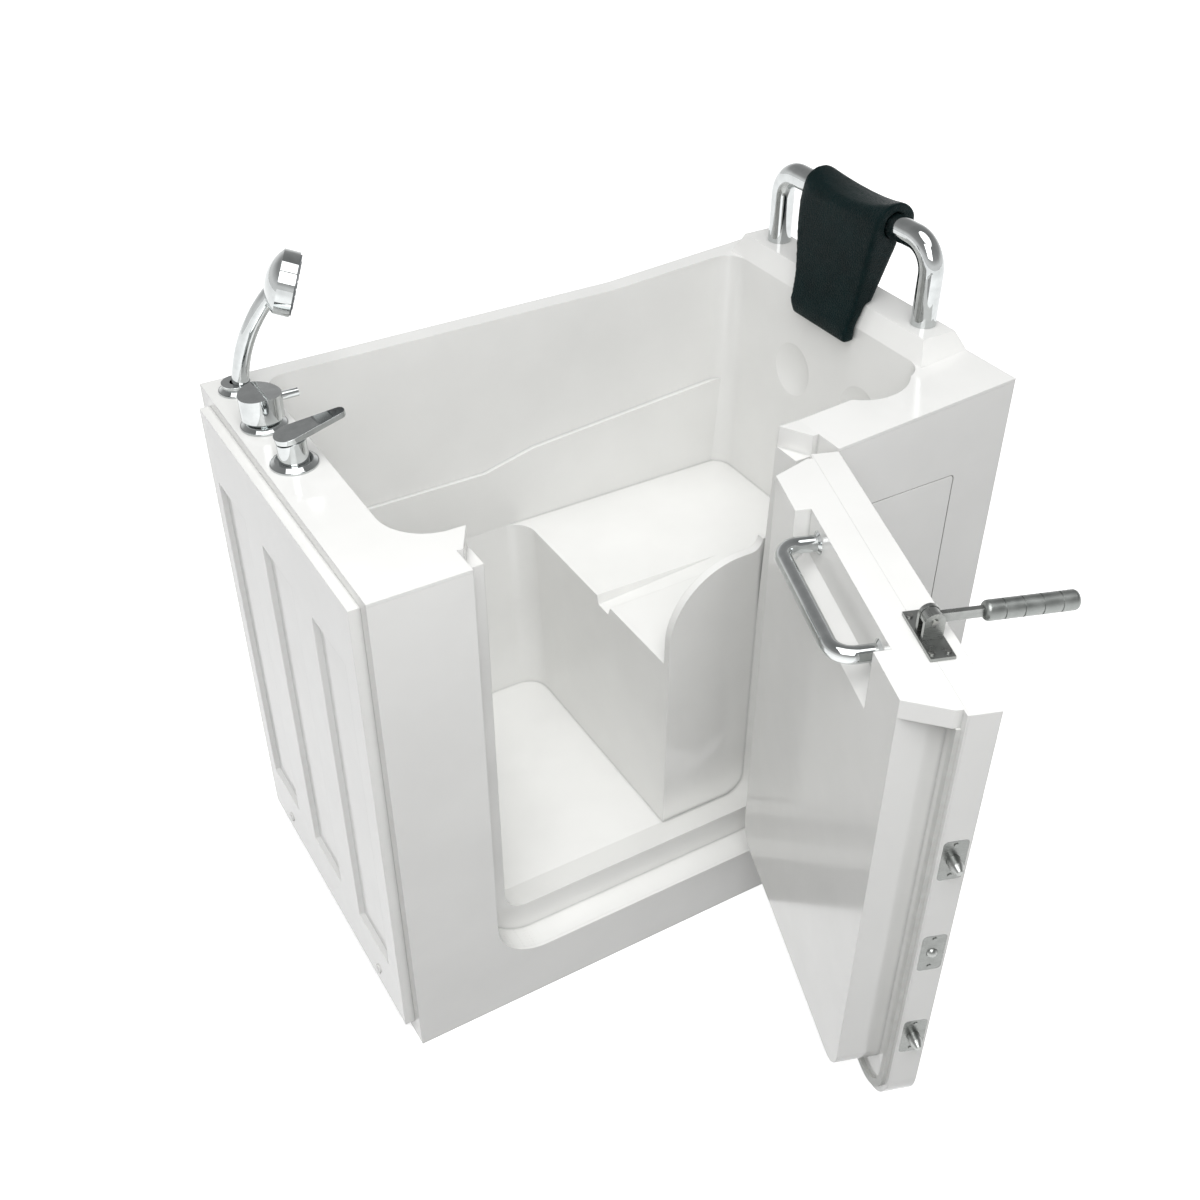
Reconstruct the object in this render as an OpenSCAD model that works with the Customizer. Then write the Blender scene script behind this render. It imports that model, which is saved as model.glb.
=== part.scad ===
// Walk-in bathtub with an outward-opening side door, drawn with its door open.
// Millimetres. X runs along the front from the tap end to the seat end.
// Y runs from the door face to the back rim, Z up from the floor.

/* [Tub] */
// Length along the front, without the end panel
tub_length = 1143; // [1110:1:1240]
// Depth from the door face to the back rim
tub_depth = 700; // [690:1:760]
// Height of the deck at the tap end
deck_height = 960; // [930:1:1000]
// Rise of the rim from the door to the seat end
rim_rise = 24; // [14:1:32]
// Thickness of the moulded shell
wall = 6; // [5:0.5:7]
// Width of the deck that carries the taps
tap_deck = 93; // [92:1:104]
// Width of the rim along the back
back_rim = 35; // [34:1:46]
// Width of the deck beside the door
front_deck = 103; // [100:1:110]
// Height of the footwell floor
floor_height = 150; // [146:1:160]
// Recline of the backrest between rim and seat level
end_lean = 10; // [4:1:16]
// Radius of the upright corners inside
corner_radius = 44; // [34:1:56]
// Radius of the inside corner between the tap deck and the door
deck_corner_radius = 82; // [60:1:95]

/* [Seat] */
// Height of the seat
seat_height = 528; // [500:1:545]
// Distance from the front of the seat to the doorway's hinge side
seat_lap = 220.5; // [206:0.5:234]
// Width of the drain channel across the seat
channel_width = 50; // [36:1:60]
// Depth of the drain channel
channel_depth = 18; // [10:1:24]
// Thickness of the wall between the seat and the door
side_wall = 15; // [12:1:18]
// Radius of the shoulder on that wall
shoulder_radius = 140; // [110:1:148]
// Height of that wall at the door frame
shoulder_height = 715; // [680:1:730]
// Width of the deck behind the face of the backrest
end_deck = 99.5; // [97:0.5:108]
// Rise of the block above the deck at the tap end
block_rise = 56; // [48:1:80]
// Diameter of the round hollows in the backrest
dimple_diameter = 110; // [80:1:120]
// Depth of those hollows
dimple_depth = 12; // [6:1:16]
// Distance between their centres
dimple_spacing = 196; // [170:1:220]

/* [Doorway] */
// Distance from the tap end to the doorway
doorway_start = 158; // [154:1:166]
// Width of the doorway in the front face
doorway_width = 626; // [610:1:640]
// Height of the sill
sill_height = 116; // [106:1:120]
// Radius of the doorway's lower corners
doorway_radius = 92; // [70:1:100]
// Depth from the front face to the stop the seal meets
stop_depth = 52; // [51:0.5:54]
// Width of the stop at each side
stop_width = 40; // [36:1:42]
// Height of the stop across the sill
stop_height = 176; // [172:1:182]
// Radius of the stop frame's lower corners
stop_radius = 42; // [30:1:50]

/* [Door] */
// Angle the door stands open at
door_open = 70.7; // [0:0.1:110]
// Thickness of the outer door slab
slab_thickness = 43; // [41:0.5:44]
// Thickness of the whole door
door_thickness = 115; // [108:1:117]
// Gap beside the hinges
hinge_gap = 3; // [2.5:0.5:4]
// Gap at the latch side
latch_gap = 11; // [10:0.5:13]
// Height of the cap that covers the stop frame
cap_height = 30; // [24:1:36]
// Length of the recess behind the inner handle
pocket_length = 329; // [310:1:340]
// Depth of that recess
pocket_depth = 24.5; // [18:0.5:28]
// Height of that recess
pocket_height = 97; // [86:1:110]
// Thickness of the door skins
skin = 4; // [3.5:0.5:5]

/* [Latch] */
// Height of the upper bolt
upper_bolt_height = 699; // [680:1:720]
// Height of the middle catch
middle_catch_height = 510; // [490:1:530]
// Height of the lower bolt
lower_bolt_height = 319; // [300:1:340]
// Diameter of the bolts
bolt_diameter = 19; // [14:0.5:21]
// Length of bolt outside the door edge
bolt_reach = 24; // [20:0.5:25]
// Width of the latch plates
plate_width = 36; // [34:0.5:38]
// Height of the latch plates
plate_height = 74; // [68:1:82]
// Distance from the hinge to the lever
lever_station = 460; // [440:1:480]
// Length of the lever from its pivot to its tip
lever_length = 199; // [170:1:220]
// Diameter of the lever grip
grip_diameter = 28; // [24:0.5:30]
// Length of the lever grip
grip_length = 130; // [100:1:134]

/* [Handles] */
// Diameter of the backrest rail
rail_diameter = 43; // [36:0.5:45]
// Distance between the feet of the backrest rail
rail_span = 410; // [400:1:424]
// Rise of the backrest rail's centre line above its block
rail_rise = 136; // [114:1:154]
// Bend radius of the backrest rail
rail_bend = 48; // [44:1:56]
// Diameter of the handle on the door
handle_diameter = 25; // [20:0.5:27]
// Distance between the feet of that handle
handle_span = 253; // [240:1:262]
// Reach of that handle from its recess
handle_reach = 60; // [52:1:64]

/* [Headrest] */
// Width of the headrest across its top
pad_width = 216; // [200:1:230]
// Width of the headrest at its lower edge
pad_foot_width = 156; // [140:1:170]
// Drop of the headrest's front flap below the rail
pad_drop = 200; // [184:1:206]
// Thickness of the headrest's flaps
pad_thickness = 26; // [22:0.5:28]
// Dip of the headrest's top edge
pad_dip = 14; // [6:1:18]

/* [Taps] */
// Diameter of the deck flanges
flange_diameter = 75; // [72:1:84]
// Diameter of the mixer body
mixer_diameter = 47; // [44:1:56]
// Length of the mixer lever
mixer_lever_length = 116; // [100:1:126]
// Diameter of the diverter knob
diverter_diameter = 69; // [60:1:71]
// Diameter of the hand shower's head
shower_head_diameter = 104; // [80:1:106]
// Diameter of the hand shower's handle
shower_handle_diameter = 28; // [26:1:32]

/* [Panels and frame] */
// Thickness of the end panel
end_panel_thickness = 18; // [14:1:22]
// Depth of the fields in the end panel
field_depth = 7; // [4:0.5:9]
// Width of each field
field_width = 112; // [96:1:120]
// Distance between field centres
field_pitch = 212; // [190:1:214]
// Size of the steel frame tube
tube_size = 30; // [25:1:32]
// Wall of the steel frame tube
tube_wall = 2; // [1.5:0.5:3]
// Diameter of the levelling feet
foot_diameter = 50; // [40:1:60]

/* [Hidden] */
$fn = 96;
cut = 40;
skim = 0.2;
seam = 0.3;
running = 0.1;
x_tap = -tub_length / 2;
x_seat = tub_length / 2;
y_front = -tub_depth / 2;
y_back = tub_depth / 2;

// Levels and stations of the shell
side_wall_place = 117;
channel_place = 339;
channel_run = 265;
channel_slope = 7;
x_basin = x_tap + tap_deck;
x_rest = x_seat - end_deck;
y_basin = y_front + front_deck;
y_wall = y_back - back_rim;
rim_top = deck_height + rim_rise;
block_height = deck_height + block_rise;
rail_height = block_height + rail_rise;
sky = block_height + cut;
back_lean = 11;
front_lean = 16;
foot_lean = 36;
foot_end_lean = 8;
ledge_proud = 10;
ledge_level = 658;
ledge_ramp_low = 684;
ledge_end = 729;
ledge_left = 486;
ledge_right = 592;
ledge_foot = 12;
rim_flange = 62;

// Doorway
x_left = x_tap + doorway_start;
x_right = x_left + doorway_width;
x_riser = x_right - seat_lap;
y_stop = y_front + stop_depth;
y_side_wall = y_front + side_wall_place;
cap_step = 10;
cap_back = 105;
cap_drop = 37;
cap_level = deck_height - cap_drop;
sill_flat = 38;
jamb_rise = 22;

// Backrest block
block_front_slope = 15;
block_back_slope = 17;
block_end_slope = 20;
dimple_drop = 133;
dimple_level = deck_height - dimple_drop;
block_near = 135;
block_far = 32;
scallop_radius = 80;
scallop_inset = 93.5;
scallop_depth = 28;

// Door
x_pivot = x_right - hinge_gap / 2;
x_slab_right = x_right - hinge_gap;
x_slab_left = x_left + latch_gap;
sill_gap = 8;
slab_foot = sill_height + sill_gap;
door_drop = 3;
door_top = deck_height - door_drop;
slab_radius = doorway_radius - sill_gap;
edge_thickness = 2.5;
seal_thickness = 6;
seal_inset = 9;
seal_width = 12;
plug_gap = 9;
plug_inset = 54;
plug_radius = 45;
cap_inset = 12;
cap_depth = 55;
cap_far_inset = 49.5;
y_slab = y_front + slab_thickness;
y_flange = y_slab + edge_thickness;
y_door = y_front + door_thickness;
plug_foot = stop_height + plug_gap;
cap_foot = door_top - cap_height;
pocket_start = 147;
pocket_ramp = 26;

// Hinges
hinge_foot = 146;
hinge_head = 107;
low_hinge = slab_foot + hinge_foot;
high_hinge = door_top - hinge_head;
hinge_heights = [low_hinge, (low_hinge + high_hinge) / 2, high_hinge];
hinge_length = 84;
knuckle_radius = 5;
hinge_pin_radius = 2.5;
leaf_thickness = 2.4;
leaf_width = 30;
knuckle_share = 0.34;
y_channel = y_front + channel_place;

// Latches
latch_heights = [upper_bolt_height, middle_catch_height, lower_bolt_height];
y_latch = y_front + slab_thickness / 2;
plate_thickness = 2;
plate_corner = 7;
case_depth = 44;
case_wall = 2.5;
case_width = 28;
case_height = 44;
bolt_length = 45;
screw_radius = 3.2;
screw_head = 1.2;
screw_shank = 1.6;
screw_length = 8;
screw_inset = 8;
bolt_taper_share = 0.45;
catch_radius = 8;
catch_reach = 6;
strike_width = 30;
strike_height = 82;
strike_clear = 4;

// Lever and its bracket
lever_place = 35;
y_lever = y_front + lever_place;
x_lever = x_pivot - lever_station;
lever_rise = 31;
z_lever = door_top + lever_rise;
bracket_length = 100;
bracket_width = 34;
bracket_thickness = 5;
ear_radius = 14;
ear_thickness = 6;
eye_thickness = 12;
eye_radius = 13;
pivot_radius = 4;
bar_height = 14;
bar_thickness = 8;
groove_width = 1.6;
groove_depth = 1;
rod_radius = 4;
rod_travel = 12;
rod_top = z_lever - eye_radius - rod_travel - skim - skim;
rod_dip = 52;
rod_bend = door_top - rod_dip;
rod_foot = 300;
rod_place = 91;
bracket_screw_radius = 2.5;
bracket_head_radius = 4.5;
bracket_head = 2.5;

// Handle on the door
bar_foot_radius = 18;
bar_foot_height = 4;
bar_bend = 30;
bar_drop = 32;
bar_place = 188;
x_bar = x_pivot - bar_place;
z_bar = door_top - bar_drop;
y_pocket = y_door - pocket_depth;
bar_bolt_radius = 4;
bar_bolt_head = 7;
bar_bolt_length = 16;

// Backrest rail and headrest
rail_inset = 45.5;
x_rail = x_seat - rail_inset;
rail_place = 387.5;
y_rail = y_front + rail_place;
rail_tail = 12;
rail_spigot = 12;
rail_nut_radius = 20;
pad_place = 386;
pad_skew = 26;
pad_clear = 0.5;
pad_gap = 2.5;
pad_top = 22;
y_pad = y_front + pad_place;
y_pad_foot = y_pad - pad_skew;
pad_low = rail_height - pad_drop;
pad_hole = rail_diameter / 2 + pad_clear;
pad_radius = pad_hole + pad_top;
pad_crown = 11;
pad_tail = 5;
wedge_back = 14;
wedge_drop = 31;
wedge_step = 13;
pad_hip = 20;
pad_hem = 16;

// Taps
tap_hole = 16;
x_taps = x_tap + tap_deck / 2;
mixer_place = 384;
diverter_place = 517;
shower_place = 648;
y_mixer = y_front + mixer_place;
y_diverter = y_front + diverter_place;
y_shower = y_front + shower_place;
flange_height = 8;
flange_step = 3;
tap_spigot = 15;
z_flange = deck_height + flange_height;
lever_plate = 9;
lever_width = 46;
lever_tip_width = 21;
lever_tilt = 10;
lever_lift = 14.8;
lever_hub = 12;
lever_fall = 12;
lever_climb = 8;
lever_axis_rise = 34.5;
diverter_height = 52;
diverter_slant = 9;
diverter_foot = 9;
handle_pin_radius = 6.8;
handle_pin_length = 61.5;
handle_pin_level = 34;
shower_flange_radius = 30;
shower_flange_height = 10;
collar_radius = 24;
collar_height = 6;
collar_bore = 10;
shower_tilt = 17.6;
shower_facing = 25.7;
shower_handle_length = 185;
shower_bend = 290;
shower_low = 55;
shower_set = 2;
shower_stub_radius = 7;
shower_stub = 18;
shower_neck = 197;
shower_back = 14;
shower_rim = 36;
shower_face = 64;
face_thickness = 2.5;
face_margin = 4;
nozzle_radius = 2;
nozzle_proud = 1;
nozzle_rings = 3;
valve_radius = 22;
valve_height = 70;
supply_radius = 7.5;
supply_spread = 20;
supply_foot = 320;
link_level = 34;
gland_height = 60;

// Waste, overflow and fill
drain_place = 201.5;
waste_place = 290;
x_drain = x_tap + drain_place;
y_drain = y_front + waste_place;
drain_radius = 22;
drain_flange = 36;
drain_lip = 2.5;
drain_low = 50;
drain_bore = 18;
drain_nut_radius = 33;
drain_nut_height = 10;
plug_disc_radius = 25;
plug_disc_height = 5;
plug_stem_radius = 4;
plug_stem = 40;
tail_radius = 17.5;
tail_low = 18;
tail_overlap = 14;
pipe_radius = 14;
pipe_wall = 2;
branch_radius = 17;
branch_level = 85;
branch_length = 46;
pipe_back = 31.5;
x_pipe = x_basin - pipe_back;
overflow_level = 800;
overflow_radius = 20;
overflow_plate_radius = 36;
overflow_plate_thickness = 4;
overflow_knob_radius = 26;
overflow_knob_depth = 12;
overflow_shaft = 5;
outlet_level = 700;
outlet_radius = 14;
outlet_flange = 27;
outlet_reach = 18;
outlet_bore = 9;
back_nut = 8;

// Aprons, panels and frame
return_width = 50;
access_right_share = 0.28;
access_width_share = 0.5655;
access_drop = 127;
access_right = (x_seat - x_right) * access_right_share;
access_width = (x_seat - x_right) * access_width_share;
access_top = deck_height - access_drop;
access_height = 433;
access_corner = 9;
access_gap = 1.5;
access_lip = 2.5;
access_rebate = 12;
panel_near = 24;
panel_far = 43;
panel_foot = 39;
panel_head = 20;
field_foot = 160;
field_head = 807;
field_bevel = 9;
field_shift = 345;
cap_radius = 9;
cap_rise = 2;
cap_level_low = 75;
cap_spread = 428;
rail_foot = 84;
near_rail_place = 170;
far_rail_place = 550;
y_near_rail = y_front + near_rail_place;
y_far_rail = y_front + far_rail_place;
rail_end_gap = 30;
z_bearer = floor_height - wall - tube_size;
end_bearer_place = 131;
second_bearer_place = 271;
fourth_bearer_place = 751;
last_bearer_inset = 92;
middle_bearer_place = tub_length / 2;
bearer_places = [
  end_bearer_place, second_bearer_place, middle_bearer_place, fourth_bearer_place,
  tub_length - last_bearer_inset
];
bearer_near = 155;
bearer_far = 7;
first_seat_post_inset = 538;
second_seat_post_inset = 143;
seat_post_places = [tub_length - first_seat_post_inset, tub_length - second_seat_post_inset];
rim_tube = 20;
rim_tube_near = 7;
rim_tube_end = 16;
rim_post_places = [end_bearer_place, middle_bearer_place, fourth_bearer_place];
foot_inset = 91.5;
foot_places = [foot_inset, tub_length - foot_inset];
foot_height = 12;
foot_stem_radius = 8;
foot_stem_top = 98;
foot_nut_radius = 14;
foot_nut_height = 12;

// Shapes shared by the pieces below
module along_y(near, far) {
  translate([0, far, 0])
    rotate([90, 0, 0])
      linear_extrude(height = far - near)
        children();
}

module along_x(near, far) {
  translate([near, 0, 0])
    rotate([90, 0, 90])
      linear_extrude(height = far - near)
        children();
}

module upright(low, high) {
  translate([0, 0, low])
    linear_extrude(height = high - low)
      children();
}

module block(low, high) {
  translate(low)
    cube(high - low);
}

module bar_x(near, far, y, z, radius) {
  translate([near, y, z])
    rotate([0, 90, 0])
      cylinder(r = radius, h = far - near);
}

module bar_y(x, near, far, z, radius) {
  translate([x, far, z])
    rotate([90, 0, 0])
      cylinder(r = radius, h = far - near);
}

module bar_z(x, y, low, high, radius) {
  translate([x, y, low])
    cylinder(r = radius, h = high - low);
}

// A plate outline with four rounded corners
module rounded(low, high, radius) {
  translate([low[0] + radius, low[1]])
    square([high[0] - low[0] - 2 * radius, high[1] - low[1]]);
  translate([low[0], low[1] + radius])
    square([high[0] - low[0], high[1] - low[1] - 2 * radius]);
  for (x = [low[0] + radius, high[0] - radius])
    for (y = [low[1] + radius, high[1] - radius])
      translate([x, y])
        circle(r = radius);
}

// An opening outline, square at its head and rounded at its foot
module opening(left, right, foot, head, radius) {
  translate([left + radius, foot])
    square([right - left - 2 * radius, head - foot]);
  translate([left, foot + radius])
    square([right - left, head - foot - radius]);
  for (x = [left + radius, right - radius])
    translate([x, foot + radius])
      circle(r = radius);
}

// The rim's profile, level over the tap end and rising past the doorway
module rim_profile(drop) {
  polygon([
    [x_tap, 0], [x_seat, 0],
    [x_seat, rim_top - drop], [x_right, deck_height - drop],
    [x_tap, deck_height - drop]
  ]);
}

module under_deck() {
  along_y(y_front, y_back)
    rim_profile(wall);
}

module envelope() {
  along_y(y_front, y_back)
    rim_profile(0);
}

// Four corner posts of one level of the basin, grown by g
module corner_posts(left, right, near, far, low, height, g, square_corner = false) {
  r = corner_radius + g;
  big = deck_corner_radius + g;
  translate([left - g + big, near - g + big, low])
    cylinder(r = big, h = height);
  for (p = [[left - g + r, far + g - r], [right + g - r, far + g - r]])
    translate([p[0], p[1], low])
      cylinder(r = r, h = height);
  if (square_corner)
    translate([right + g - r, near - g, low])
      cube([r, r, height]);
  else
    translate([right + g - r, near - g + r, low])
      cylinder(r = r, h = height);
}

// The hollow above the seat, grown by g to make its wall
module upper_hollow(g) {
  hull() {
    corner_posts(x_basin, x_rest, y_basin, y_wall, deck_height, sky - deck_height, g);
    corner_posts(
      x_basin, x_rest - end_lean, y_basin + front_lean, y_wall - back_lean,
      seat_height - g, skim, g
    );
  }
}

// The hollow that the feet stand in
module footwell(g) {
  hull() {
    corner_posts(
      x_basin, x_riser, y_basin + front_lean, y_wall - back_lean - ledge_proud / 2,
      seat_height, skim, g, true
    );
    corner_posts(
      x_basin + foot_end_lean, x_riser, y_basin + front_lean, y_wall - foot_lean - front_lean,
      floor_height - g, skim, g, true
    );
  }
}

// The channel that drains the seat into the footwell, fading out along the seat
module seat_channel(g) {
  foot = channel_width / 2 - channel_slope + g;
  head = channel_width / 2 + g;
  translate([x_riser, y_channel, seat_height - channel_depth])
    rotate([0, -atan(channel_depth / channel_run), 0])
      along_x(-wall, channel_run + g)
        polygon([[-head, channel_depth + wall], [-foot, -g], [foot, -g], [head, channel_depth + wall]]);
}

// Round hollows in the backrest
module dimples() {
  r = (pow(dimple_diameter / 2, 2) + pow(dimple_depth, 2)) / (2 * dimple_depth);
  intersection() {
    for (side = [-1, 1])
      translate([x_rest - end_lean / 2 + dimple_depth - r, side * dimple_spacing / 2, dimple_level])
        sphere(r = r);
    block([x_rest - cut, y_front, seat_height], [x_seat, y_back, deck_height]);
  }
}

// Flat bosses behind them
module dimple_backs() {
  for (side = [-1, 1])
    bar_x(
      x_rest - cut, x_rest - end_lean / 2 + dimple_depth + wall,
      side * dimple_spacing / 2, dimple_level, dimple_diameter / 2 + wall
    );
}

module scallop(g) {
  bar_z(
    x_rest - scallop_inset, y_basin - scallop_depth + scallop_radius,
    seat_height + rim_flange - g, sky, scallop_radius + g
  );
}

// The doorway's hollow: rebate, stop frame, sill ramp and the cap's notch
module doorway(g) {
  left = x_left - g;
  right = x_right + g;
  along_y(y_front - cut, y_stop + g)
    opening(left, right, sill_height - g, sky, doorway_radius + g);
  hull() {
    along_y(y_stop, y_stop + sill_flat)
      opening(left + stop_width, right - stop_width, stop_height - g, sky, stop_radius + g);
    along_y(y_basin + front_lean - skim, y_basin + front_lean + skim)
      opening(left + stop_width, right - stop_width, floor_height - g, sky, stop_radius + g);
  }
  upright(cap_level - g, sky)
    polygon([
      [left + cap_step, y_stop - wall], [left + cap_step, y_stop],
      [left + stop_width, y_front + cap_back], [left + stop_width, y_side_wall],
      [right - stop_width, y_side_wall], [right - stop_width, y_front + cap_back],
      [right - cap_step, y_stop], [right - cap_step, y_stop - wall]
    ]);
}

// Raised block above the backrest, inset by i to make its hollow
module headblock(i) {
  near = y_front + block_near - block_end_slope;
  far = y_back - block_far;
  intersection() {
    along_y(near + i, far - i)
      polygon([
        [x_rest + i, deck_height - wall - i], [x_rest + i, deck_height + rim_rise * block_share()],
        [x_rest + block_front_slope + i, block_height - i],
        [x_seat - block_back_slope - i, block_height - i], [x_seat - i, rim_top - i],
        [x_seat - i, deck_height - wall - i]
      ]);
    along_x(x_rest, x_seat)
      polygon([
        [near + i, deck_height - wall - i], [near + i, rim_top - wall],
        [near + block_end_slope + i, block_height - i],
        [far - block_end_slope - i, block_height - i], [far - i, rim_top - wall],
        [far - i, deck_height - wall - i]
      ]);
  }
}

// Share of the rim's rise reached at the face of the backrest
function block_share() = (x_rest - x_right) / (x_seat - x_right);

// Ledge along the back wall, level by the taps and rising over the seat
module ledge() {
  intersection() {
    upper_hollow(wall / 2);
    along_y(y_wall - back_lean / 2 - ledge_proud, y_back)
      polygon([
        [x_tap, seat_height - ledge_foot], [x_seat, seat_height - ledge_foot],
        [x_seat, ledge_end], [x_tap + ledge_right, ledge_ramp_low],
        [x_tap + ledge_left, ledge_level], [x_tap, ledge_level]
      ]);
  }
}

// Wall between the seat and the doorway, with a round shoulder
module seat_side() {
  x_centre = x_riser + shoulder_radius;
  z_centre = shoulder_height - shoulder_radius;
  head = shoulder_height + jamb_rise;
  along_y(y_side_wall, y_side_wall + side_wall) {
    translate([x_riser, floor_height - wall])
      square([x_right - stop_width + wall - x_riser, z_centre - floor_height + wall]);
    translate([x_centre, z_centre - skim])
      square([x_right - stop_width + wall - x_centre, shoulder_radius + skim]);
    difference() {
      translate([x_right - stop_width - jamb_rise, shoulder_height - skim])
        square([jamb_rise + wall, jamb_rise]);
      translate([x_right - stop_width - jamb_rise, head])
        circle(r = jamb_rise);
    }
    translate([x_centre, z_centre])
      circle(r = shoulder_radius);
  }
}

// Places of the hinges, latches and taps in the shell
module at_hinges() {
  for (z = hinge_heights)
    translate([x_pivot, y_front, z - hinge_length / 2])
      children();
}

module knuckle_relief() {
  at_hinges()
    cylinder(r = knuckle_radius + seam, h = hinge_length + hinge_pin_radius + seam);
}

module jamb_mortise() {
  for (z = hinge_heights)
    block(
      [x_right, y_front - cut, z - hinge_length / 2],
      [x_right + leaf_thickness, y_front + leaf_width, z + hinge_length / 2]
    );
}

module strike_cut() {
  for (z = latch_heights) {
    block(
      [x_left - plate_thickness, y_latch - strike_width / 2, z - strike_height / 2],
      [x_left + skim, y_latch + strike_width / 2, z + strike_height / 2]
    );
    bar_x(x_left - wall - skim, x_left, y_latch, z, bolt_diameter / 2 + strike_clear);
  }
}

// One moulding: deck, basin, seat, backrest, door stop and sill
module tub_shell() {
  color("white") difference() {
    union() {
      difference() {
        intersection() {
          union() {
            difference() {
              envelope();
              under_deck();
            }
            upper_hollow(wall);
            footwell(wall);
            dimple_backs();
            scallop(wall);
            doorway(wall);
            seat_channel(wall);
            deck_flanges();
          }
          difference() {
            envelope();
            intersection() {
              under_deck();
              block([x_tap, y_front, 0], [x_seat, y_front + wall, sky]);
            }
          }
        }
        upper_hollow(0);
        footwell(0);
        dimples();
        scallop(0);
        doorway(0);
      }
      ledge();
      seat_side();
      difference() {
        headblock(0);
        under_deck();
      }
    }
    seat_channel(0);
    headblock(wall);
    jamb_mortise();
    strike_cut();
    strike_screw_shanks();
    tap_holes();
    rail_holes();
    waste_holes();
  }
}

// Edges turned down at the tap end and along the back
module deck_flanges() {
  block([x_tap, y_front, deck_height - rim_flange], [x_tap + wall, y_back, deck_height - wall / 2]);
  block([x_tap, y_back - wall, deck_height - rim_flange], [x_seat, y_back, deck_height - wall / 2]);
}

module tap_holes() {
  for (y = [y_mixer, y_diverter, y_shower])
    bar_z(x_taps, y, deck_height - rim_flange, sky, tap_hole);
}

module rail_holes() {
  for (y = [y_rail - rail_span / 2, y_rail + rail_span / 2])
    bar_z(x_rail, y, deck_height, sky, rail_spigot + seam);
}

module waste_holes() {
  bar_z(x_drain, y_drain, floor_height - cut, floor_height + skim, drain_radius + seam);
  bar_x(x_basin - cut, x_basin + skim, y_drain, overflow_level, overflow_radius + seam);
  bar_x(x_basin - cut, x_basin + skim, y_diverter, outlet_level, outlet_radius + seam);
}

// Front face with the doorway and the place of the access panel
module front_apron() {
  color("white") difference() {
    intersection() {
      union() {
        block([x_tap, y_front, 0], [x_seat, y_front + wall, rim_top]);
        block([x_tap, y_front, 0], [x_tap + wall, y_front + return_width, deck_height - rim_flange]);
      }
      under_deck();
    }
    along_y(y_front - cut, y_front + cut)
      opening(x_left, x_right, sill_height, sky, doorway_radius);
    access_outline(y_front, y_front + wall - access_lip, 0);
    access_outline(y_front - cut, y_front + cut, access_rebate);
    jamb_mortise();
    knuckle_relief();
  }
}

module access_outline(near, far, inset) {
  along_y(near, far)
    rounded(
      [x_seat - access_right - access_width + inset, access_top - access_height + inset],
      [x_seat - access_right - inset, access_top - inset],
      access_corner - inset / 2
    );
}

// Hatch in the front face
module access_panel() {
  color("white") intersection() {
    along_y(y_front, y_front + wall - access_lip)
      rounded(
        [x_seat - access_right - access_width + access_gap, access_top - access_height + access_gap],
        [x_seat - access_right - access_gap, access_top - access_gap],
        access_corner - access_gap
      );
    block([x_right, y_front, 0], [x_seat, y_back, rim_top]);
  }
}

// Face at the seat end
module seat_end_apron() {
  color("white") intersection() {
    block([x_seat - wall, y_front + wall, 0], [x_seat, y_back, rim_top]);
    difference() {
      under_deck();
      block([x_tap, y_back - wall, deck_height - rim_flange], [x_seat, y_back, rim_top]);
    }
  }
}

// Angle that closes the rear corner at the tap end
module rear_corner() {
  color("white") union() {
    block([x_tap, y_back - return_width, 0], [x_tap + wall, y_back, deck_height - rim_flange]);
    block([x_tap, y_back - wall, 0], [x_tap + return_width, y_back, deck_height - rim_flange]);
  }
}

// Puts a piece drawn with the door closed into the open position
module swung() {
  translate([x_pivot, y_front, 0])
    rotate([0, 0, door_open])
      translate([-x_pivot, -y_front, 0])
        children();
}

module plate_shape(grow) {
  for (z = latch_heights)
    along_x(x_slab_left - grow, x_slab_left + plate_thickness)
      rounded(
        [y_latch - plate_width / 2, z - plate_height / 2],
        [y_latch + plate_width / 2, z + plate_height / 2],
        plate_corner
      );
}

// Holes for the bolts and the catch, from the edge inwards by depth
module bolt_holes(depth) {
  for (z = [upper_bolt_height, lower_bolt_height])
    bar_x(x_slab_left - cut, x_slab_left + depth, y_latch, z, bolt_diameter / 2 + seam);
  bar_x(x_slab_left - cut, x_slab_left + depth, y_latch, middle_catch_height, catch_radius + seam);
}

module latch_screw_shanks(near, far) {
  for (z = latch_heights)
    for (side = [-1, 1])
      bar_x(near, far, y_latch, z + side * (plate_height / 2 - screw_inset), screw_shank);
}

module rod_hole() {
  bar_z(x_lever, y_lever, door_top - skin - skim, door_top + cut, rod_radius + seam);
}

module bracket_screw_places() {
  for (x = [-1, 1])
    for (y = [-1, 1])
      translate([
        x_lever + x * (bracket_length / 2 - bracket_width / 2 + ear_thickness),
        y_lever + y * (bracket_width / 2 - ear_thickness),
        door_top
      ])
        children();
}

// Outer tray of the door
module door_outer_panel() {
  color("white") swung()
    difference() {
      along_y(y_front, y_slab)
        opening(x_slab_left, x_slab_right, slab_foot, door_top, slab_radius);
      along_y(y_front + skin, y_slab + cut)
        opening(
          x_slab_left + skin, x_slab_right - skin,
          slab_foot + skin, door_top - skin, slab_radius - skin
        );
      plate_shape(cut);
      bolt_holes(cut);
      latch_screw_shanks(x_slab_left, x_slab_left + screw_length);
      rod_hole();
      bracket_screw_places()
        translate([0, 0, -cut])
          cylinder(r = bracket_screw_radius, h = cut + cut);
      door_leaf_shape(cut);
      knuckle_relief();
    }
}

// Recess of the inner handle, grown by g
module pocket(g) {
  start = x_pivot - pocket_start;
  foot = door_top - pocket_height;
  along_x(start - pocket_length - g, start + g)
    polygon([
      [y_pocket - g, foot + pocket_ramp - g / 2],
      [y_door + cut, foot - g - pocket_ramp * (cut + g) / pocket_depth], [y_door + cut, sky],
      [y_pocket - g, sky]
    ]);
}

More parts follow.
